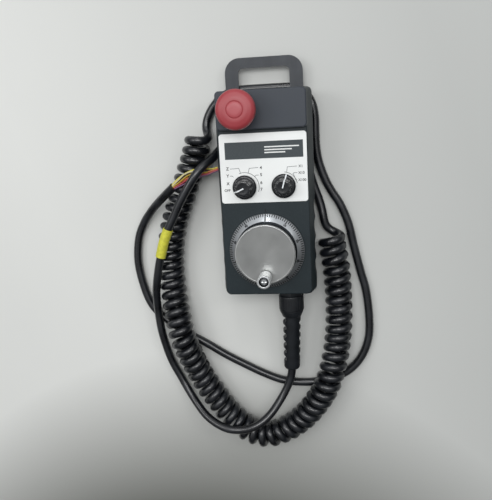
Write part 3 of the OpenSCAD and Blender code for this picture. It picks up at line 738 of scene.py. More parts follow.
# %% Back shell
def back_shell():
    bevel_w, bevel_h = 24, 16

    def on_slope(z, ease=0.0):
        share = 1 - z / bevel_h
        inset = bevel_w * share + ease
        return [z, half_w - inset, top_y - inset, bottom_y + bevel_w * 0.6 * share + ease, 14 + 9.5 * share]

    outside = [[0, half_w - bevel_w - 1, top_y - bevel_w - 1, bottom_y + bevel_w * 0.6 + 0.8, 22.6],
               on_slope(0.35, 0.3), on_slope(1.1), on_slope(12.6), on_slope(14.6, 0.25), on_slope(16, 0.75),
               [18, half_w - 0.25, top_y - 0.25, bottom_y + 0.25, 13], [20, half_w, top_y, bottom_y, 12],
               [joint_z - 0.45, half_w, top_y, bottom_y, 5],
               [joint_z - 0.05, half_w - 0.5, top_y - 0.5, bottom_y + 0.5, 4.6]]
    inside = [[WALL, half_w - bevel_w - 0.7, top_y - bevel_w - 0.7, bottom_y + bevel_w * 0.6 + 0.7, 22],
              [bevel_h + 1.3, half_w - WALL, top_y - WALL, bottom_y + WALL, 12],
              [joint_z + 1, half_w - WALL, top_y - WALL, bottom_y + WALL, 4]]
    seat_z = bevel_h - 2
    pillars = [post(PILLAR_D, seat_z - 6, joint_z - 0.1, spot, sides=32) for spot in SCREWS]
    sinks = [post(SCREW_D, -1, joint_z + 1, spot, sides=24) for spot in SCREWS]
    sinks += [post(SINK_D, -1, seat_z, spot, sides=32) for spot in SCREWS]
    plate_low, plate_high = span("hanger_loop")
    slot_size = (TAB_W + 0.3, 28, plate_high.z - plate_low.z + 0.2)
    slots = [box_block(slot_size, (side * TAB_X, top_y - 14, plate_low.z + 1.35)) for side in (-1, 1)]
    shell = carved(lofted(outside), cut=[lofted(inside)])
    shell = carved(shell, joined=pillars, cut=sinks + slots + [gland_hole()] + list(finger_hollows()))
    finished(shell, "back_moulding", "housing", back_plastic, ["back_shell"], angle=35, even=True)


back_shell()

# %% [markdown]
# ## The hanger loop
# The loop is a flat steel plate, punched and powder coated. Its outline is a
# rounded rectangle with another punched out of it, two tabs reach through the
# back shell to their screws, and its rims are broken as a deburred plate's are.

# %% Broken edges
def break_edges(bm, offset, angle=50, segments=2):
    """Bevels every edge that is sharper than the angle."""
    bmesh.ops.remove_doubles(bm, verts=bm.verts, dist=0.002)
    sharp = [edge for edge in bm.edges if edge.calc_face_angle(0) > math.radians(angle)]
    bmesh.ops.bevel(bm, geom=sharp, offset=offset, segments=segments, profile=0.5, affect="EDGES",
                    clamp_overlap=True, material=-1)
    return bm

# %% [markdown]
# The coat is a dark paint baked on as powder. It is nearly even, with soft
# patches and faint streaks along the plate, where it has slid on a hook.

# %% Hanger loop
def powder_coat(name, colour, light):
    finish = Finish(name, colour, roughness=0.5, specular_ior_level=0.4)
    cloud = finish.noise(0.08, detail=4).between(0.35, 0.7)
    streak = finish.noise(0.9, detail=2, stretch=(1, 0.04, 1)).between(0.4, 0.75)
    tone = finish.mix(cloud * 0.6 + streak * 0.4, colour, light)
    finish.set(base_color=tone, roughness=0.42 + streak * 0.14)
    finish.bump(finish.noise(1.1, detail=2), strength=0.4, distance=0.05)
    return finish.material


coated_steel = powder_coat("coated_steel", "2b2f34", "363a40")


def hanger_loop():
    low, high = span("hanger_loop")
    leg, bar, foot, screw_hole = 13.7, 10.3, top_y - 3.9, 4.3
    flat = low.z + high.z

    def slab(half, tip, heel, radius, spare=0):
        return lofted([[z, half, tip, heel, radius, 12] for z in (low.z - spare, high.z + spare)])

    below = box_block((2 * high.x + 2, 60, 20), (0, foot - 30, flat / 2))
    opening = slab(high.x - leg, high.y - bar, foot - 12, 5, 1)
    plate = carved(slab(high.x, high.y, foot - 20, 15), cut=[opening, below])
    tab_size, tab_y = (TAB_W, foot + 1 - low.y, high.z - low.z), (foot + 1 + low.y) / 2
    tabs = [box_block(tab_size, (side * TAB_X, tab_y, flat / 2)) for side in (-1, 1)]
    holes = [post(screw_hole, low.z - 1, high.z + 1, (side * TAB_X, TAB_Y), sides=32) for side in (-1, 1)]
    plate = break_edges(carved(plate, joined=tabs, cut=holes), 0.35)
    finished(plate, "hanger_plate", "housing", coated_steel, ["hanger_loop"])


hanger_loop()

# %% [markdown]
# ## The faceplate and its print
# The faceplate is a white plastic sheet with a fine matt grain. What is printed
# on it is made as ink: flat shapes a few hundredths of a millimetre thick that
# lie on the sheet, so that they stay crisp however close the view is.

# %% Sheet and inks
def ink(name, colour, light):
    return mottled(name, colour, light, (0.42, 0.12), (0.6, 3, 0.35, 0.7), specular_ior_level=0.3)


white_sheet = mottled("white_sheet", "eaecea", "f2f4f2", (0.32, 0.14), (0.02, 4, 0.3, 0.7),
                      (3.0, 2, 0.2, 0.03), coat_weight=0.15, coat_roughness=0.25)
dark_ink, grey_ink = ink("dark_ink", "3b4245", "42494c"), ink("grey_ink", "54595b", "606567")
black_ink, white_ink = ink("black_ink", "0d0f11", "15181a"), ink("white_ink", "e2e4e2", "eceeec")
INK = 0.04


def faceplate():
    low, high = span("faceplate")
    bm = lofted([[low.z, high.x, high.y, low.y, 3], [high.z - 0.25, high.x, high.y, low.y, 3],
                 [high.z, high.x - 0.25, high.y - 0.25, low.y + 0.25, 2.8]])
    holes = [post(SWITCH_HOLE, low.z - 1, high.z + 1, spot, sides=48)
             for spot in (axis_spot, multiplier_spot)]
    finished(carved(bm, cut=holes), "printed_faceplate", "housing", white_sheet, ["faceplate"])


faceplate()

# %% [markdown]
# A drawn line of ink is a row of short blocks; a bar is one. Letters come from
# Blender's own font, become a mesh, and are then placed. All the ink of one
# colour is one piece.

# %% Drawing in ink
def add_bar(bm, low, high, z):
    size = (high[0] - low[0], high[1] - low[1], INK)
    at = ((low[0] + high[0]) / 2, (low[1] + high[1]) / 2, z + INK / 2)
    add_block(bm, size, Matrix.Translation(at))


def add_line(bm, points, z, width):
    for a, b in zip(points, points[1:]):
        a, b = Vector((*a, z + INK / 2)), Vector((*b, z + INK / 2))
        turn = Matrix.Rotation(math.atan2(b.y - a.y, b.x - a.x), 4, "Z")
        add_block(bm, ((b - a).length + width * 0.6, width, INK), Matrix.Translation((a + b) / 2) @ turn)


def add_words(bm, words, height, matrix, bold):
    """Letters of a cap height, centred, with their feet towards -Y of the matrix."""
    data = bpy.data.curves.new("letters", "FONT")
    data.body, data.size = words, height / 0.7
    data.extrude, data.offset, data.resolution_u = INK / 2, bold, 3
    data.align_x, data.align_y = "CENTER", "CENTER"
    letters = bpy.data.objects.new("letters", data)
    scene.collection.objects.link(letters)
    mesh = bpy.data.meshes.new_from_object(letters.evaluated_get(bpy.context.evaluated_depsgraph_get()))
    mesh.transform(matrix)
    bm.from_mesh(mesh)
    bpy.data.objects.remove(letters)
    bpy.data.meshes.remove(mesh)

# %% [markdown]
# The left switch picks an axis and the right one a step size. Each position has
# its letter or number beside the knob, with a thin leader where the letter
# stands off from its detent, and a pale arc runs round the knob. The dark band
# above them is bare apart from three stripes.

# %% Print on the faceplate
def band_print():
    dark = bmesh.new()
    add_bar(dark, (-37.8, 31.5), (39.7, 48.2), label_top)
    finished(dark, "print_band", "housing", dark_ink)
    white = bmesh.new()
    for y, end in ((42.6, 35.8), (39.8, 28.7), (37.1, 22.2)):
        add_bar(white, (1.7, y - 0.6), (end, y + 0.6), label_top + INK)
    finished(white, "print_stripes", "housing", white_ink)


def arc(centre, radius, start, end, steps=20):
    """Points round a centre, with angles clockwise from the hanger end."""
    turns = [math.radians(start + (end - start) * i / steps) for i in range(steps + 1)]
    return [(centre.x + radius * math.sin(t), centre.y + radius * math.cos(t)) for t in turns]


LEFT_WORDS = (("Z", -16.5, 18.6), ("Y", -16.6, 11.6), ("X", -16.7, 3.9), ("OFF", -17.6, -2.9),
              ("4", 17.0, 18.6), ("5", 16.9, 11.7), ("6", 16.8, 3.9), ("7", 16.6, -2.9))
RIGHT_WORDS = (("X1", 17.3, 18.7), ("X10", 17.9, 12.2), ("X100", 18.5, 5.2))
LEFT_LEADERS = (((-13.9, 18.5), (-5.1, 18.9), (-3.6, 14.1)), ((-14.2, 11.5), (-12.2, 11.5), (-10.9, 10.3)),
                ((14.2, 19.0), (5.4, 18.5), (4.0, 13.6)), ((14.4, 11.5), (11.8, 11.5), (10.3, 10.0)))
RIGHT_LEADERS = (((13.5, 18.9), (4.1, 18.5), (3.3, 12.9)), ((13.6, 12.4), (10.4, 12.4), (9.2, 11.4)),
                 ((13.3, 5.3), (11.9, 5.9), (9.8, 11.3)))


def switch_print():
    words, lines = bmesh.new(), bmesh.new()
    switches = ((axis_spot, LEFT_WORDS, LEFT_LEADERS), (multiplier_spot, RIGHT_WORDS, RIGHT_LEADERS))
    for spot, marks, leaders in switches:
        for letters, x, y in marks:
            place = Matrix.Translation((spot.x + x, spot.y + y, label_top + INK / 2))
            height, bold = (2.9, 0.1) if len(letters) == 1 else (2.5, 0.06)
            add_words(words, letters, height, place, bold)
        for leader in leaders:
            add_line(lines, [(spot.x + x, spot.y + y) for x, y in leader], label_top, 0.45)
    add_line(lines, arc(axis_spot, 14.5, -20, 110), label_top, 0.5)
    add_line(lines, arc(multiplier_spot, 13.6, 5, 80), label_top, 0.5)
    finished(words, "print_letters", "housing", black_ink)
    finished(lines, "print_leaders", "housing", grey_ink)


band_print()
switch_print()

# %% [markdown]
# ## Turned shapes
# Knobs, the stop button, the wheel and the handle are all turned round an
# axis. A profile is a list of radius and height, from the bottom round the
# outside to the top, and its corners are cut into short arcs before it is spun.

# %% Turning a profile
def softened(profile, radius, steps=3):
    """The profile with each inner corner replaced by a short arc."""
    points = [Vector(p) for p in profile]
    line = [points[0]]
    for before, corner, after in zip(points, points[1:], points[2:]):
        back, ahead = before - corner, after - corner
        reach = min(radius, back.length * 0.45, ahead.length * 0.45)
        start, end = corner + back.normalized() * reach, corner + ahead.normalized() * reach
        for i in range(steps + 1):
            t = i / steps
            line.append(start.lerp(corner, t).lerp(corner.lerp(end, t), t))
    return line + [points[-1]]


def turned(profile, at, sides=96, radius=0.3):
    """A bmesh turned round the vertical axis at a place."""
    bm = bmesh.new()
    line = softened(profile, radius) if radius else [Vector(p) for p in profile]
    verts = [bm.verts.new((at[0] + p.x, at[1], p.y)) for p in line]
    edges = [bm.edges.new(pair) for pair in zip(verts, verts[1:])]
    bmesh.ops.spin(bm, geom=verts + edges, cent=(at[0], at[1], 0), axis=(0, 0, 1),
                   angle=2 * math.pi, steps=sides, use_merge=True)
    bmesh.ops.remove_doubles(bm, verts=bm.verts, dist=0.0005)
    return bm


def spread_round(radius, count):
    """Places spread evenly round the origin."""
    turns = [2 * math.pi * k / count for k in range(count)]
    return [(radius * math.cos(t), radius * math.sin(t)) for t in turns]

# %% [markdown]
# ## The two selector knobs
# A knob is a round skirt with a ribbed cap on it. A tenth rib would lie under
# the pointer, so it is left out. The white pointer runs over the cap, down its
# side and out across the skirt.

# %% Knob plastic and pointer paint
glossy_knob = mottled("knob_plastic", "0a0d11", "15191e", (0.2, 0.16), (0.15, 4, 0.45, 0.75),
                      (1.5, 2, 0.15, 0.03), coat_weight=0.7, coat_roughness=0.06, specular_ior_level=0.35)
white_paint = mottled("pointer_paint", "e8ecee", "c4c8ca", (0.35, 0.2), (0.9, 3, 0.55, 0.8))
print("knob finishes:", glossy_knob.name, white_paint.name)

# %% [markdown]
# The cap is lofted from rings whose points bulge out at the ribs. The rounding
# of its top edge is worked out once, from the outside in, because the pointer's
# paint follows the same curve.

# %% Knob
SKIRT_R, CAP_R, FLUTES, RIB_R = 12, 7.5, 10, 1.2
KNOB_FOOT, SKIRT_TOP, KNOB_TOP = label_top + 0.4, label_top + 4.4, face_z + 16.4
SHOULDER = KNOB_TOP - 1.4
ROUNDING = [math.radians(15 * k) for k in range(1, 6)]


def on_rounding(t):
    """Radius and height on the cap's top edge, t from 0 at its side to a quarter turn on top."""
    return CAP_R - 0.1 - 1.1 * (1 - math.cos(t)), SHOULDER + 1.4 * math.sin(t)


def fluted(bm, z, radius, share, spot, turn, sides=180):
    """A ring of edges round the cap; share tells how far its ribs stand out."""
    ring = bmesh.ops.create_circle(bm, radius=1, segments=sides)["verts"]
    reach = CAP_R - 0.3
    for i, vert in enumerate(ring):
        angle = 2 * math.pi * i / sides
        nearest = round(angle / (2 * math.pi) * FLUTES)
        off = angle - nearest * 2 * math.pi / FLUTES
        across = RIB_R ** 2 - (reach * math.sin(off)) ** 2
        rib = reach * math.cos(off) + math.sqrt(across) if across > 0 and nearest % FLUTES else 0
        r = radius + max(0.0, rib - CAP_R) * share
        vert.co = (spot[0] + r * math.sin(angle + turn), spot[1] + r * math.cos(angle + turn), z)
    return edges_of(bm, ring)


def cap(spot, turn):
    bm = bmesh.new()
    steps = [(CAP_R, SKIRT_TOP - 0.5, 1), (CAP_R - 0.1, SHOULDER, 1)]
    steps += [(*on_rounding(t), math.cos(t) ** 0.6) for t in ROUNDING]
    steps += [(CAP_R - 1.9, KNOB_TOP, 0), (CAP_R - 2.6, KNOB_TOP - 0.1, 0), (2.2, KNOB_TOP - 0.35, 0)]
    return bridged(bm, [fluted(bm, z, r, share, spot, turn) for r, z, share in steps])


def knob(name, spot, body, rest):
    """A knob whose pointer stands at rest degrees, clockwise from the hanger end."""
    turn = math.radians(rest)
    skirt = turned([(0, KNOB_FOOT), (SKIRT_R - 0.4, KNOB_FOOT), (SKIRT_R, KNOB_FOOT + 0.4),
                    (SKIRT_R, SKIRT_TOP - 1.2), (SKIRT_R - 1.5, SKIRT_TOP - 0.1), (CAP_R + 1, SKIRT_TOP),
                    (0, SKIRT_TOP)], spot, sides=128, radius=0.5)
    bore = post(6, KNOB_FOOT - 1, KNOB_TOP - 2, spot)
    nut_room = post(17.8, KNOB_FOOT - 1, label_top + 2.7, spot)
    sideways = Matrix.Rotation(-turn, 4, "Z") @ Matrix.Rotation(math.pi / 2, 4, "X")
    grub = post(2.2, CAP_R - 2, CAP_R + 3, sides=24,
                turn=Matrix.Translation((spot.x, spot.y, SKIRT_TOP + 4)) @ sideways)
    shape = carved(skirt, joined=[cap(spot, turn)], cut=[bore, nut_room, grub])
    finished(shape, name + "_knob_body", body, glossy_knob, [name + "_knob"], angle=35, even=True)
    pointer(name, spot, body, turn)


def pointer(name, spot, body, turn, width=1.25, proud=0.06):
    """A white stripe over cap and skirt, laid on the profile between them."""
    line = [(-0.8, KNOB_TOP - 0.3), (3.0, KNOB_TOP - 0.3), (CAP_R - 2.6, KNOB_TOP - 0.1),
            (CAP_R - 1.9, KNOB_TOP)]
    line += [on_rounding(t) for t in ROUNDING[::-1]]
    line += [(CAP_R - 0.1, SHOULDER), (CAP_R, SKIRT_TOP + 0.3), (CAP_R + 0.6, SKIRT_TOP),
             (SKIRT_R - 1.7, SKIRT_TOP - 0.05), (SKIRT_R - 1.2, SKIRT_TOP - 0.35),
             (SKIRT_R - 0.2, SKIRT_TOP - 1.05)]
    bm = bmesh.new()
    rows = [[bm.verts.new((side * width / 2, along, z)) for side in (-1, 1)] for along, z in line]
    for a, b in zip(rows, rows[1:]):
        bm.faces.new((a[0], a[1], b[1], b[0]))
    bmesh.ops.recalc_face_normals(bm, faces=bm.faces)
    bmesh.ops.solidify(bm, geom=bm.faces[:], thickness=-2 * proud)
    bmesh.ops.translate(bm, vec=(0, 0, proud), verts=bm.verts)
    place = Matrix.Translation((spot.x, spot.y, 0)) @ Matrix.Rotation(-turn, 4, "Z")
    bmesh.ops.transform(bm, matrix=place, verts=bm.verts)
    finished(bm, name + "_pointer", body, white_paint)


knob("axis", axis_spot, "axis_selector", rest=-115)
knob("multiplier", multiplier_spot, "multiplier_selector", rest=15)

# %% [markdown]
# ## The stop button
# The head is a broad red mushroom with a groove round a slightly domed centre.
# Its skirt is hollow below and slides over a dark bezel, and a grey plunger
# carries it.

# %% Red plastic
def red_plastic():
    finish = Finish("red_plastic", "a63c42", roughness=0.42, coat_weight=0.1, coat_roughness=0.3)
    cloud = finish.noise(0.05, detail=5).between(0.3, 0.75)
    # Painted highlight: the domed centre pad is painted a lighter red.
    painted_highlight_pad = 1 - finish.from_axis(stop).between(6.6, 7.4)
    tone = finish.mix(cloud, "9c383e", "a54248")
    finish.set(base_color=finish.mix(painted_highlight_pad * 0.5, tone, "b4555b"), roughness=0.36 + cloud * 0.14)
    finish.bump(finish.noise(1.8, detail=3), strength=0.25, distance=0.04)
    return finish.material

# %% [markdown]
# The whole head is one spun profile: up the inside of the skirt, round its rim,
# over the shoulder, down and up the shallow groove, and flat across the top.

# %% Mushroom head
STOP_R = 19
head_low, head_high = span("stop_head")


def stop_head():
    foot, top = head_low.z, head_high.z
    outside = [(0, foot + 6), (7.55, foot + 6), (7.55, foot), (10, foot), (10, foot + 3), (15, foot + 3),
               (15, foot), (STOP_R - 1.5, foot), (STOP_R, foot + 1.5), (STOP_R, foot + 5.5),
               (STOP_R - 0.8, foot + 8), (STOP_R - 3.2, foot + 9.9), (STOP_R - 7.5, foot + 11),
               (8.3, foot + 11.2), (7.9, foot + 10.7), (7.5, foot + 11.3), (5.2, top - 0.08), (2, top),
               (0, top)]
    head = turned(outside, stop, sides=160, radius=0.9)
    finished(head, "mushroom_head", "stop_head_body", red_plastic(), ["stop_head"], angle=60)


stop_head()

# %% [markdown]
# Under the head sits the bezel, a black collar with grip grooves that is
# screwed down on the housing. The plunger's stem has one groove for its ring.

# %% Bezel and plunger
smooth_black = plastic("smooth_black")


def stop_bezel():
    (_, _, low), (_, _, rim) = span("stop_bezel")
    foot = raised_z
    ring = turned([(7.55, low), (11.1, low), (11.1, foot), (14.5, foot), (14.5, rim - 1.2), (13, rim),
                   (9.4, rim), (8.8, rim - 0.5), (7.55, rim - 0.5), (7.55, low)], stop, radius=0.25)
    grips = [post(1.3, foot + 0.8, rim - 1.6, (stop.x + x, stop.y + y), sides=10)
             for x, y in spread_round(14.75, 24)]
    finished(carved(ring, cut=grips), "stop_collar", "housing", smooth_black, ["stop_bezel"])


def stop_plunger():
    low, high = span("stop_plunger")
    stem = turned([(0, low.z), (7.1, low.z), (7.5, low.z + 0.4), (7.5, high.z - 7.4), (7.2, high.z - 7.1),
                   (7.2, high.z - 6.1), (7.5, high.z - 5.8), (7.5, high.z - 0.4), (7.1, high.z), (0, high.z)],
                  stop, radius=0.15)
    grey = plastic("grey_plastic", "6d706f", "7b7e7c")
    finished(stem, "plunger_stem", "stop_plunger_body", grey, ["stop_plunger"])


stop_bezel()
stop_plunger()

# %% [markdown]
# ## The handwheel
# The wheel is turned from aluminium in three parts: a conical dial ring with a
# hundred graduations, a black drum, and a disc with a chamfer painted bright as
# a highlight. The ring is polished, the disc is matt from fine blasting.

# %% Wheel metals
def turned_metal(name, colour, light, roughness, spot, groove=0.0, metallic=1.0, painted_light_band=None):
    """Bare metal with rings from the lathe; the band is an inner radius, an outer one and a colour of painted
    light.
    """
    finish = Finish(name, colour, roughness=roughness, metallic=metallic)
    cloud = finish.noise(0.04, detail=5).between(0.3, 0.75)
    from_axis, z = finish.from_axis(spot), finish.axes()[2]
    rings = (from_axis * 9.0).sine() * 0.5 + (from_axis * 23.0 + z * 19.0).sine() * 0.5
    tone = finish.mix(cloud, colour, light)
    if painted_light_band:
        inside = (from_axis > painted_light_band[0]) * (from_axis < painted_light_band[1])
        tone = finish.mix(inside, tone, painted_light_band[2])
    finish.set(base_color=tone, roughness=roughness + cloud * 0.07)
    finish.bump(finish.noise(6.0, detail=2) + rings * groove, strength=0.3, distance=0.02)
    return finish.material


# Painted highlight: the disc's chamfer is painted near white.
blasted_metal = turned_metal("blasted_aluminium", "a3a4a2", "afb0ae", 0.3, wheel, painted_light_band=(29.1, 31, "e6e7e6"))
# Painted shade: the ring's inner edge is painted dark, for the shadow in the gap under the disc.
ring_metal = turned_metal("polished_ring", "b4b8bb", "c1c4c6", 0.26, wheel, groove=0.3, metallic=0.9,
                          painted_light_band=(28, 31, "24272a"))
black_drum = plastic("black_anodised", "0b0c0e", "131517", roughness=0.35)
ring_low, ring_high = span("dial_ring")
disc_low, disc_high = span("wheel_disc")
drum_low, drum_high = span("wheel_drum")
RING_R, DRUM_R, DISC_R = ring_high.x, drum_high.x, disc_high.x
LIP_Z = ring_low.z + 2.5
print("ring", round(2 * RING_R, 1), "drum", round(2 * DRUM_R, 1), "disc", round(2 * DISC_R, 1))

# %% [markdown]
# Each of the three is one profile, spun. The ring has a short upright lip and
# then the cone that carries the scale, the drum is hollow below with a hub for
# the shaft, and the disc has a chamfer painted bright as a highlight and a
# face that lies a hair lower.

# %% Ring, drum and disc
def dial_ring():
    low, high = ring_low.z, ring_high.z
    ring = turned([(DRUM_R, low), (RING_R - 0.4, low), (RING_R, low + 0.4), (RING_R, LIP_Z),
                   (DRUM_R + 0.8, high), (DRUM_R, high), (DRUM_R, low)], wheel, sides=200, radius=0.25)
    finished(ring, "graduated_ring", "wheel", ring_metal, ["dial_ring"], angle=25)


def wheel_drum():
    low, high = drum_low.z, drum_high.z
    hub = 9
    wall = turned([(4, low), (hub, low), (hub, high - 3), (DRUM_R - 3, high - 3), (DRUM_R - 3, low),
                   (DRUM_R, low), (DRUM_R, high - 1.6), (DRUM_R - 0.5, high - 1.3),
                   (DRUM_R - 0.5, high - 0.6), (DRUM_R, high - 0.4), (DRUM_R, high), (4, high), (4, low)],
                  wheel, sides=160, radius=0.2)
    boss = post(9.5, high - 8, high - 1, (crank.x, crank.y + 0.6))
    seat = post(5, high - 9, high + 1, crank)
    drum = carved(wall, joined=[boss], cut=[seat])
    finished(drum, "anodised_drum", "wheel", black_drum, ["wheel_drum"])


def wheel_disc():
    low, high = disc_low.z, disc_high.z
    plate = turned([(0, low), (DISC_R - 0.3, low), (DISC_R, low + 0.3), (DISC_R, high - 0.8),
                    (DISC_R - 0.8, high), (DISC_R - 1.6, high), (DISC_R - 1.9, high - 0.08),
                    (0, high - 0.08)], wheel, sides=200, radius=0.12)
    hole = post(5, low - 1, high + 1, crank)
    finished(carved(plate, cut=[hole]), "blasted_disc", "wheel", blasted_metal, ["wheel_disc"])


dial_ring()
wheel_drum()
wheel_disc()

# %% [markdown]
# The graduations are engraved and filled with black: a hundred lines at the
# foot of the cone, the fifths and tenths longer and zero the longest, and the
# tens in small figures above them. Each mark is a thin block laid on the slope
# of the cone.

# %% Graduations and figures
SLOPE = math.atan2(ring_high.z - LIP_Z, RING_R - DRUM_R - 0.8)
MARKS = ((100, (7.9, 1.3)), (10, (4.8, 1.05)), (5, (3.9, 0.9)), (1, (3.1, 0.9)))


def on_cone(radius, turn):
    """A frame half an ink above the cone: X along the rim, Y up the slope, Z out of the metal."""
    z = LIP_Z + (RING_R - radius) * math.tan(SLOPE) + INK / 2
    about = Matrix.Translation((wheel.x, wheel.y, 0)) @ Matrix.Rotation(-turn, 4, "Z")
    return about @ Matrix.Translation((0, radius, z)) @ Matrix.Rotation(-SLOPE, 4, "X")


def graduations():
    marks, figures = bmesh.new(), bmesh.new()
    for i in range(100):
        turn = 2 * math.pi * i / 100
        length, width = next(size for every, size in MARKS if i % every == 0)
        middle_r = RING_R - 0.2 - length * math.cos(SLOPE) / 2
        add_block(marks, (width, length, INK), on_cone(middle_r, turn))
        if i % 10 == 0 and i:
            add_words(figures, str(i), 2.3, on_cone(DRUM_R + 4.0, turn), bold=0.16)
    finished(marks, "dial_graduations", "wheel", black_ink)
    finished(figures, "dial_figures", "wheel", black_ink)


def index_mark():
    mark, rim = bmesh.new(), wheel.y + RING_R
    add_bar(mark, (wheel.x - 0.5, rim + 0.8), (wheel.x + 0.5, rim + 4.4), face_z)
    finished(mark, "index_mark", "housing", black_ink)


graduations()
index_mark()

# %% [markdown]
# ## The crank handle
# The handle is a waisted aluminium grip that spins on an axle. The axle has a
# flange on the disc and a head with a cross slot at the bottom of a counterbore.

# %% Handle and axle
# Painted shade: the counterbore in the top of the grip is painted dark.
bright_metal = turned_metal("bright_aluminium", "ced0d1", "d9dbdb", 0.26, crank, groove=0.5, metallic=0.75,
                            painted_light_band=(0, 4.7, "3f4245"))
# Painted shade: the rim of the axle's head is painted darker, as shade deep in the counterbore.
plated_steel = turned_metal("plated_steel", "c9cbcc", "d4d6d6", 0.22, crank, groove=0.2,
                            painted_light_band=(2.3, 4.2, "7d8082"))


def crank_handle():
    low, high = span("crank_handle")
    foot, top, seat, r = low.z, high.z, high.z - 4.6, 6.8
    waist = [(r - 0.3 - 0.42 * math.sin(math.pi * t) ** 2 * (1 - 0.35 * t), foot + 2.2 + t * 13.2)
             for t in (k / 12 for k in range(13))]
    grip = turned([(2.55, foot), (r - 0.9, foot), (r - 0.3, foot + 0.6), (r - 0.3, foot + 1.6),
                   (r - 0.6, foot + 1.8), (r - 0.6, foot + 2.1), *waist, (r, top - 3), (r, top - 0.8),
                   (r - 0.8, top), (4.9, top), (4.5, top - 0.4), (4.5, seat), (2.55, seat), (2.55, foot)],
                  crank, sides=120, radius=0.2)
    finished(grip, "spinning_grip", "handle", bright_metal, ["crank_handle"], angle=40)


def crank_axle():
    low, high = span("crank_axle")
    head, flange = high.z - 2.2, disc_high.z
    pin = turned([(0, low.z), (2.2, low.z), (2.5, low.z + 0.3), (2.5, flange), (5.75, flange),
                  (5.75, flange + 1.0), (5.5, flange + 1.2), (2.5, flange + 1.2), (2.5, head), (4, head),
                  (4, high.z - 0.5), (3.4, high.z), (0, high.z)], crank, sides=64, radius=0.12)
    cross = [box_block(size, (crank.x, crank.y, high.z)) for size in ((5.6, 1.1, 2.4), (1.1, 5.6, 2.4))]
    finished(carved(pin, cut=cross), "crank_pin", "wheel", plated_steel, ["crank_axle"])


crank_handle()
crank_axle()

# %% [markdown]
# ## Gland and bend relief
# The gland is a hexagon against the wall and a nut with fine grips on it. From
# the nut a rubber sleeve droops along the cable; slots cut into it from
# alternate sides let it bend without a kink.

# %% Gland
NUT_FOOT, GLAND_OUT = 5.5, bottom_y - span("gland_nut")[0].y
gland_black = plastic("gland_nylon", "0c0f13", "14181c", roughness=0.34, per_mm=0.9)


def along_gland(bm):
    bmesh.ops.transform(bm, matrix=gland_turn, verts=bm.verts)
    return bm


def gland_body():
    hexagon = post(27, 0, NUT_FOOT, sides=6)
    bmesh.ops.bevel(hexagon, geom=hexagon.edges[:], offset=0.5, segments=3, profile=0.5, affect="EDGES")
    neck = turned([(4.7, -10), (7.6, -10), (8, -9.6), (8, 0.5), (9.5, 0.5), (9.5, GLAND_OUT - 6.6),
                   (9.1, GLAND_OUT - 6.2), (4.7, GLAND_OUT - 6.2), (4.7, -10)], (0, 0), sides=64, radius=0.1)
    shape = carved(hexagon, cut=[post(12, -1, NUT_FOOT + 1)])
    shape = along_gland(carved(shape, joined=[neck]))
    finished(shape, "gland_hexagon", "housing", gland_black, ["gland_body"])


def gland_nut():
    nut = turned([(9.5, NUT_FOOT), (12.6, NUT_FOOT), (13.1, NUT_FOOT + 0.5), (13.2, NUT_FOOT + 1.4),
                  (13.2, GLAND_OUT - 0.8), (12.4, GLAND_OUT), (7, GLAND_OUT), (7, GLAND_OUT - 6),
                  (9.5, GLAND_OUT - 6), (9.5, NUT_FOOT)], (0, 0), sides=144, radius=0.3)
    grips = [post(1.1, NUT_FOOT + 2.6, GLAND_OUT - 2.2, place, sides=8) for place in spread_round(13.45, 30)]
    finished(along_gland(carved(nut, cut=grips)), "gland_cap", "housing", gland_black, ["gland_nut"])


gland_body()
gland_nut()

# %% [markdown]
# The sleeve is turned upright at the origin and then laid into place. It
# droops by some degrees, but its slots are cut upright, and flared, so that
# they stay open to someone who looks straight down on the pendant.

# %% Bend relief
RELIEF_R, RELIEF_CORE, RELIEF_L, CONE_L = 9.7, 5.5, 72, 7.5
RELIEF_PITCH, RELIEF_SLOT, RELIEF_MOUTH, FIRST_SLOT = 9.7, 4.0, 7.8, CONE_L + 3.2
DRIFT, DROOP = math.radians(-2.2), math.radians(9.5)
relief_turn = Matrix.Translation((0, -GLAND_OUT, 0)) @ gland_turn
droop = Matrix.Rotation(DRIFT, 4, "Y") @ Matrix.Rotation(DROOP, 4, "X")


def slot_cutter(along, turn):
    """A slot across one side of the sleeve, upright and flared to a wide mouth."""
    deep = RELIEF_R + 0.6 - RELIEF_CORE
    cutter = box_block((deep, 4 * RELIEF_R, RELIEF_SLOT), (RELIEF_CORE + deep / 2, 0, 0))
    mouth = [vert for vert in cutter.verts if vert.co.x > RELIEF_R]
    bmesh.ops.scale(cutter, vec=(1, 1, RELIEF_MOUTH / RELIEF_SLOT), verts=mouth)
    inner = [edge for edge in cutter.edges
             if all(abs(vert.co.x - RELIEF_CORE) < 0.1 for vert in edge.verts) and
             abs(edge.verts[0].co.y - edge.verts[1].co.y) > 1]
    bmesh.ops.bevel(cutter, geom=inner, offset=0.9, segments=4, profile=0.5, affect="EDGES")
    upright = Matrix.Translation((0, 0, along)) @ Matrix.Rotation(-DROOP, 4, "X")
    place = droop @ upright @ Matrix.Rotation(math.radians(turn), 4, "Z")
    bmesh.ops.transform(cutter, matrix=place, verts=cutter.verts)
    return cutter


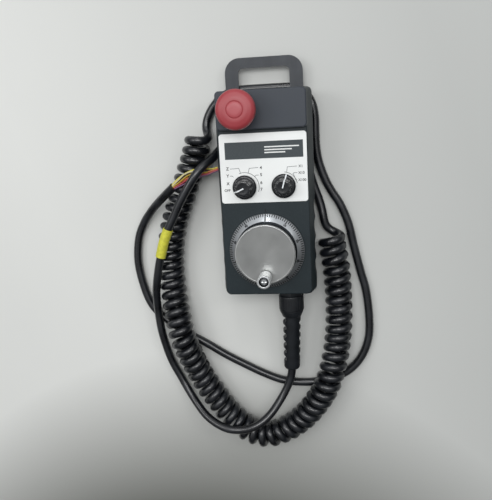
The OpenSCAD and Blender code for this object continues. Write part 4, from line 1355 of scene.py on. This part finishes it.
def bend_relief():
    end, bore = RELIEF_L, 4.7
    sleeve = turned([(bore, 0), (RELIEF_R, 0), (RELIEF_R, CONE_L), (RELIEF_R - 0.7, end - 12),
                     (RELIEF_R - 0.9, end - 1.5), (RELIEF_R - 2, end), (bore, end), (bore, 0)],
                    (0, 0), sides=96, radius=1.2)
    bmesh.ops.transform(sleeve, matrix=droop, verts=sleeve.verts)
    cone = turned([(bore, 0), (13, 0), (RELIEF_R + 0.2, CONE_L), (bore, CONE_L), (bore, 0)],
                  (0, 0), sides=96, radius=0.8)
    slots = [slot_cutter(FIRST_SLOT + i * RELIEF_PITCH, 180) for i in range(6)]
    slots += [slot_cutter(FIRST_SLOT + (i + 0.5) * RELIEF_PITCH, -25) for i in range(5)]
    below = box_block((60, 60, 8), (0, 0, -4))
    shape = carved(carved(sleeve, joined=[cone]), cut=slots + [below])
    break_edges(shape, 0.6, angle=55, segments=3)
    bmesh.ops.transform(shape, matrix=relief_turn, verts=shape.verts)
    rubber = plastic("relief_rubber", "0f1216", "171b20", roughness=0.38, per_mm=1.1)
    return finished(shape, "slotted_relief", "housing", rubber, ["bend_relief"], angle=40)


relief = bend_relief()

# %% [markdown]
# ## Marker sleeve and bare cores
# A yellow sleeve is clipped round the lead. At the far end the sheath has been
# stripped back, and thin cores in several colours run on over the curl and
# under the lead to the side of the housing.

# %% Marker sleeve
yellow_sleeve = mottled("marker_yellow", "d6d346", "b9b63a", (0.34, 0.2), (0.3, 4, 0.35, 0.75),
                        (1.2, 2, 0.2, 0.04))


def sleeve_round(line, outer, inner, sides=28, gap=22.0):
    """A split tube along a line, whose open slit faces the table."""
    bm = bmesh.new()
    rings = []
    for point, _, side, up in frames_along(line):
        ring, down = [], math.atan2(-up.z, -side.z)
        for radius, order in ((outer, 1), (inner, -1)):
            turns = [math.radians(gap / 2 + (360 - gap) * k / sides) for k in range(sides + 1)][::order]
            ring += [bm.verts.new(point + radius * (side * math.cos(t + down) + up * math.sin(t + down)))
                     for t in turns]
        rings.append(ring)
    for a, b in zip(rings, rings[1:]):
        for k in range(len(a)):
            m = (k + 1) % len(a)
            bm.faces.new((a[k], a[m], b[m], b[k]))
    half = sides + 1
    for ring in (rings[0], rings[-1]):
        for k in range(sides):
            bm.faces.new((ring[k], ring[k + 1], ring[2 * half - 2 - k], ring[2 * half - 1 - k]))
    return bm


def marker():
    stretch = eased(LEAD[20:23], step=1.2)
    sleeve = break_edges(sleeve_round(stretch, CABLE_D / 2 + 1, CABLE_D / 2 + 0.06), 0.2)
    return finished(sleeve, "marker_sleeve", "housing", yellow_sleeve, ["cable_marker"], angle=40)


marker_sleeve = marker()

# %% [markdown]
# Each core is a curve of its own. They leave the end of the sheath side by
# side, fan out a little where they lie on the curl, and gather again under the
# lead, and three are trimmed shorter than the others.

# %% Cores
CORE_D = 1.7
CORE_PATH = [(-99.5, 3.4, 33.2), (-96.5, 6, 32.4), (-91, 10, 31.6), (-84.5, 14.2, 31.3), (-77, 17, 31.2),
             (-69.5, 18.2, 28.6), (-62, 18.6, 25.6), (-55, 20.2, 24.4), (-51.2, 21.6, 24.2)]
CORES = [("yellow", "c9bf4a", -2.6, 0.3), ("pale", "c3bc93", -1.6, 1.5), ("black", "17191b", -0.7, 0.0),
         ("gold", "a98d2c", 0.2, 1.7), ("orange", "c0743a", 1.2, 0.4), ("red", "a23a40", 2.1, 1.4),
         ("pink", "b06f7c", 3.0, 0.2), ("violet", "6b4a68", 3.8, 1.2)]
TRIMMED = {"pale": 9, "gold": 6, "black": 3}


def core_colour(name, colour):
    finish = Finish("core_" + name, colour, roughness=0.34)
    cloud = finish.noise(0.5, detail=3).between(0.3, 0.8)
    finish.set(roughness=0.3 + cloud * 0.16)
    finish.bump(finish.noise(1.4, detail=2), strength=0.15, distance=0.03)
    return finish.material


def core(name, colour, across, lift):
    """One insulated wire, offset across the bundle, with its own slight waves."""
    path, line, up = eased(CORE_PATH, step=2.0), [], Vector((0, 0, 1))
    for i, (point, ahead, _, _) in enumerate(frames_along(path)):
        share = i / (len(path) - 1)
        spread = 0.35 + 0.65 * math.sin(math.pi * min(1.0, share * 1.15)) ** 0.8
        wave = 0.6 * math.sin(share * 9 + across * 3) * min(1.0, 4 * share)
        sideways = ahead.cross(up).normalized() * (across * spread * 1.5 + wave)
        line.append(point + sideways + up * lift * (0.4 + 0.6 * spread))
    keep = len(line) - TRIMMED.get(name, 0)
    wire = strand("core_" + name, line[:keep], CORE_D, core_colour(name, colour), sides=6)
    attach(wire, "housing")
    return wire


cores = [core(*facts) for facts in CORES]
print(len(cores), "bare cores at the end of the tail")

# %% [markdown]
# ## Pieces kept as they are
# Screws, nuts, the encoder, the switches and the terminal board keep their
# solid shapes. Each gets a finish of its own kind.

# %% Finishes for kept solids
def board_green():
    finish = Finish("solder_mask", "14512a", roughness=0.3, coat_weight=0.3, coat_roughness=0.15)
    x, y, _ = finish.axes()
    tracks = ((x * 2.1).sine() * (y * 0.35).sine()).between(0.55, 0.6)
    finish.set(base_color=finish.mix(tracks * 0.6, "14512a", "2a7a42"), roughness=0.28 + tracks * 0.1)
    finish.bump(tracks, strength=0.2, distance=0.03)
    return finish.material


def coded_glass():
    finish = Finish("coded_glass", "9fb4bd", roughness=0.08, coat_weight=0.4, coat_roughness=0.05)
    x, y, _ = finish.axes()
    angle = x.sum_with("ARCTAN2", y - wheel.y, x - wheel.x)
    lines = (angle * 100.0).sine() > 0.0
    reach = finish.from_axis(wheel).between(12.5, 12.6)
    finish.set(base_color=finish.mix(lines * reach, "9fb4bd", "1b2226"), roughness=0.06 + reach * 0.06)
    return finish.material


KEPT = (
    (metal("bright_zinc", "9c9fa1", "b3b5b6"), ("hanger_screws", "encoder_screws", "board_screws")),
    (metal("black_oxide", "2c2e31", "3a3c3f", 0.42), ("shell_screws",)),
    (metal("nickel_plate", "b5b2a8", "c6c3ba", 0.22),
     ("axis_switch_nut", "multiplier_switch_nut", "axis_switch_shaft", "multiplier_switch_shaft")),
    (metal("spring_wire", "a4a6a8", "bbbcbd", 0.2), ("stop_spring",)),
    (metal("ground_steel", "aeb0b2", "c0c1c3", 0.18), ("wheel_shaft",)),
    (metal("bearing_steel", "9fa1a4", "b4b5b7", 0.16), ("encoder_bearings",)),
    (plastic("switch_case", "2b3430", "36403b", roughness=0.4), ("axis_switch", "multiplier_switch")),
    (plastic("contact_case", "24345a", "2d4070", roughness=0.38), ("stop_contact_block",)),
    (plastic("encoder_housing", "33363a", "3d4044", roughness=0.4), ("encoder_body", "encoder_cover")),
    (plastic("terminal_case", "1f6f3c", "2a8148", roughness=0.35), ("terminal_strips",)),
    (smooth_black, ("stop_locknut", "gland_locknut")),
    (board_green(), ("terminal_board", "encoder_reader")),
    (coded_glass(), ("code_disc",)),
)

for material, nodes in KEPT:
    for node in nodes:
        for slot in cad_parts[node].material_slots:
            slot.material = material
print("kept solids with a finish:", sum(len(nodes) for _, nodes in KEPT))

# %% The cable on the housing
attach(cable, "housing")
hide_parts("lead_cable", "curly_cord", "tail_cable")
Vector(LEAD[0]) * MM
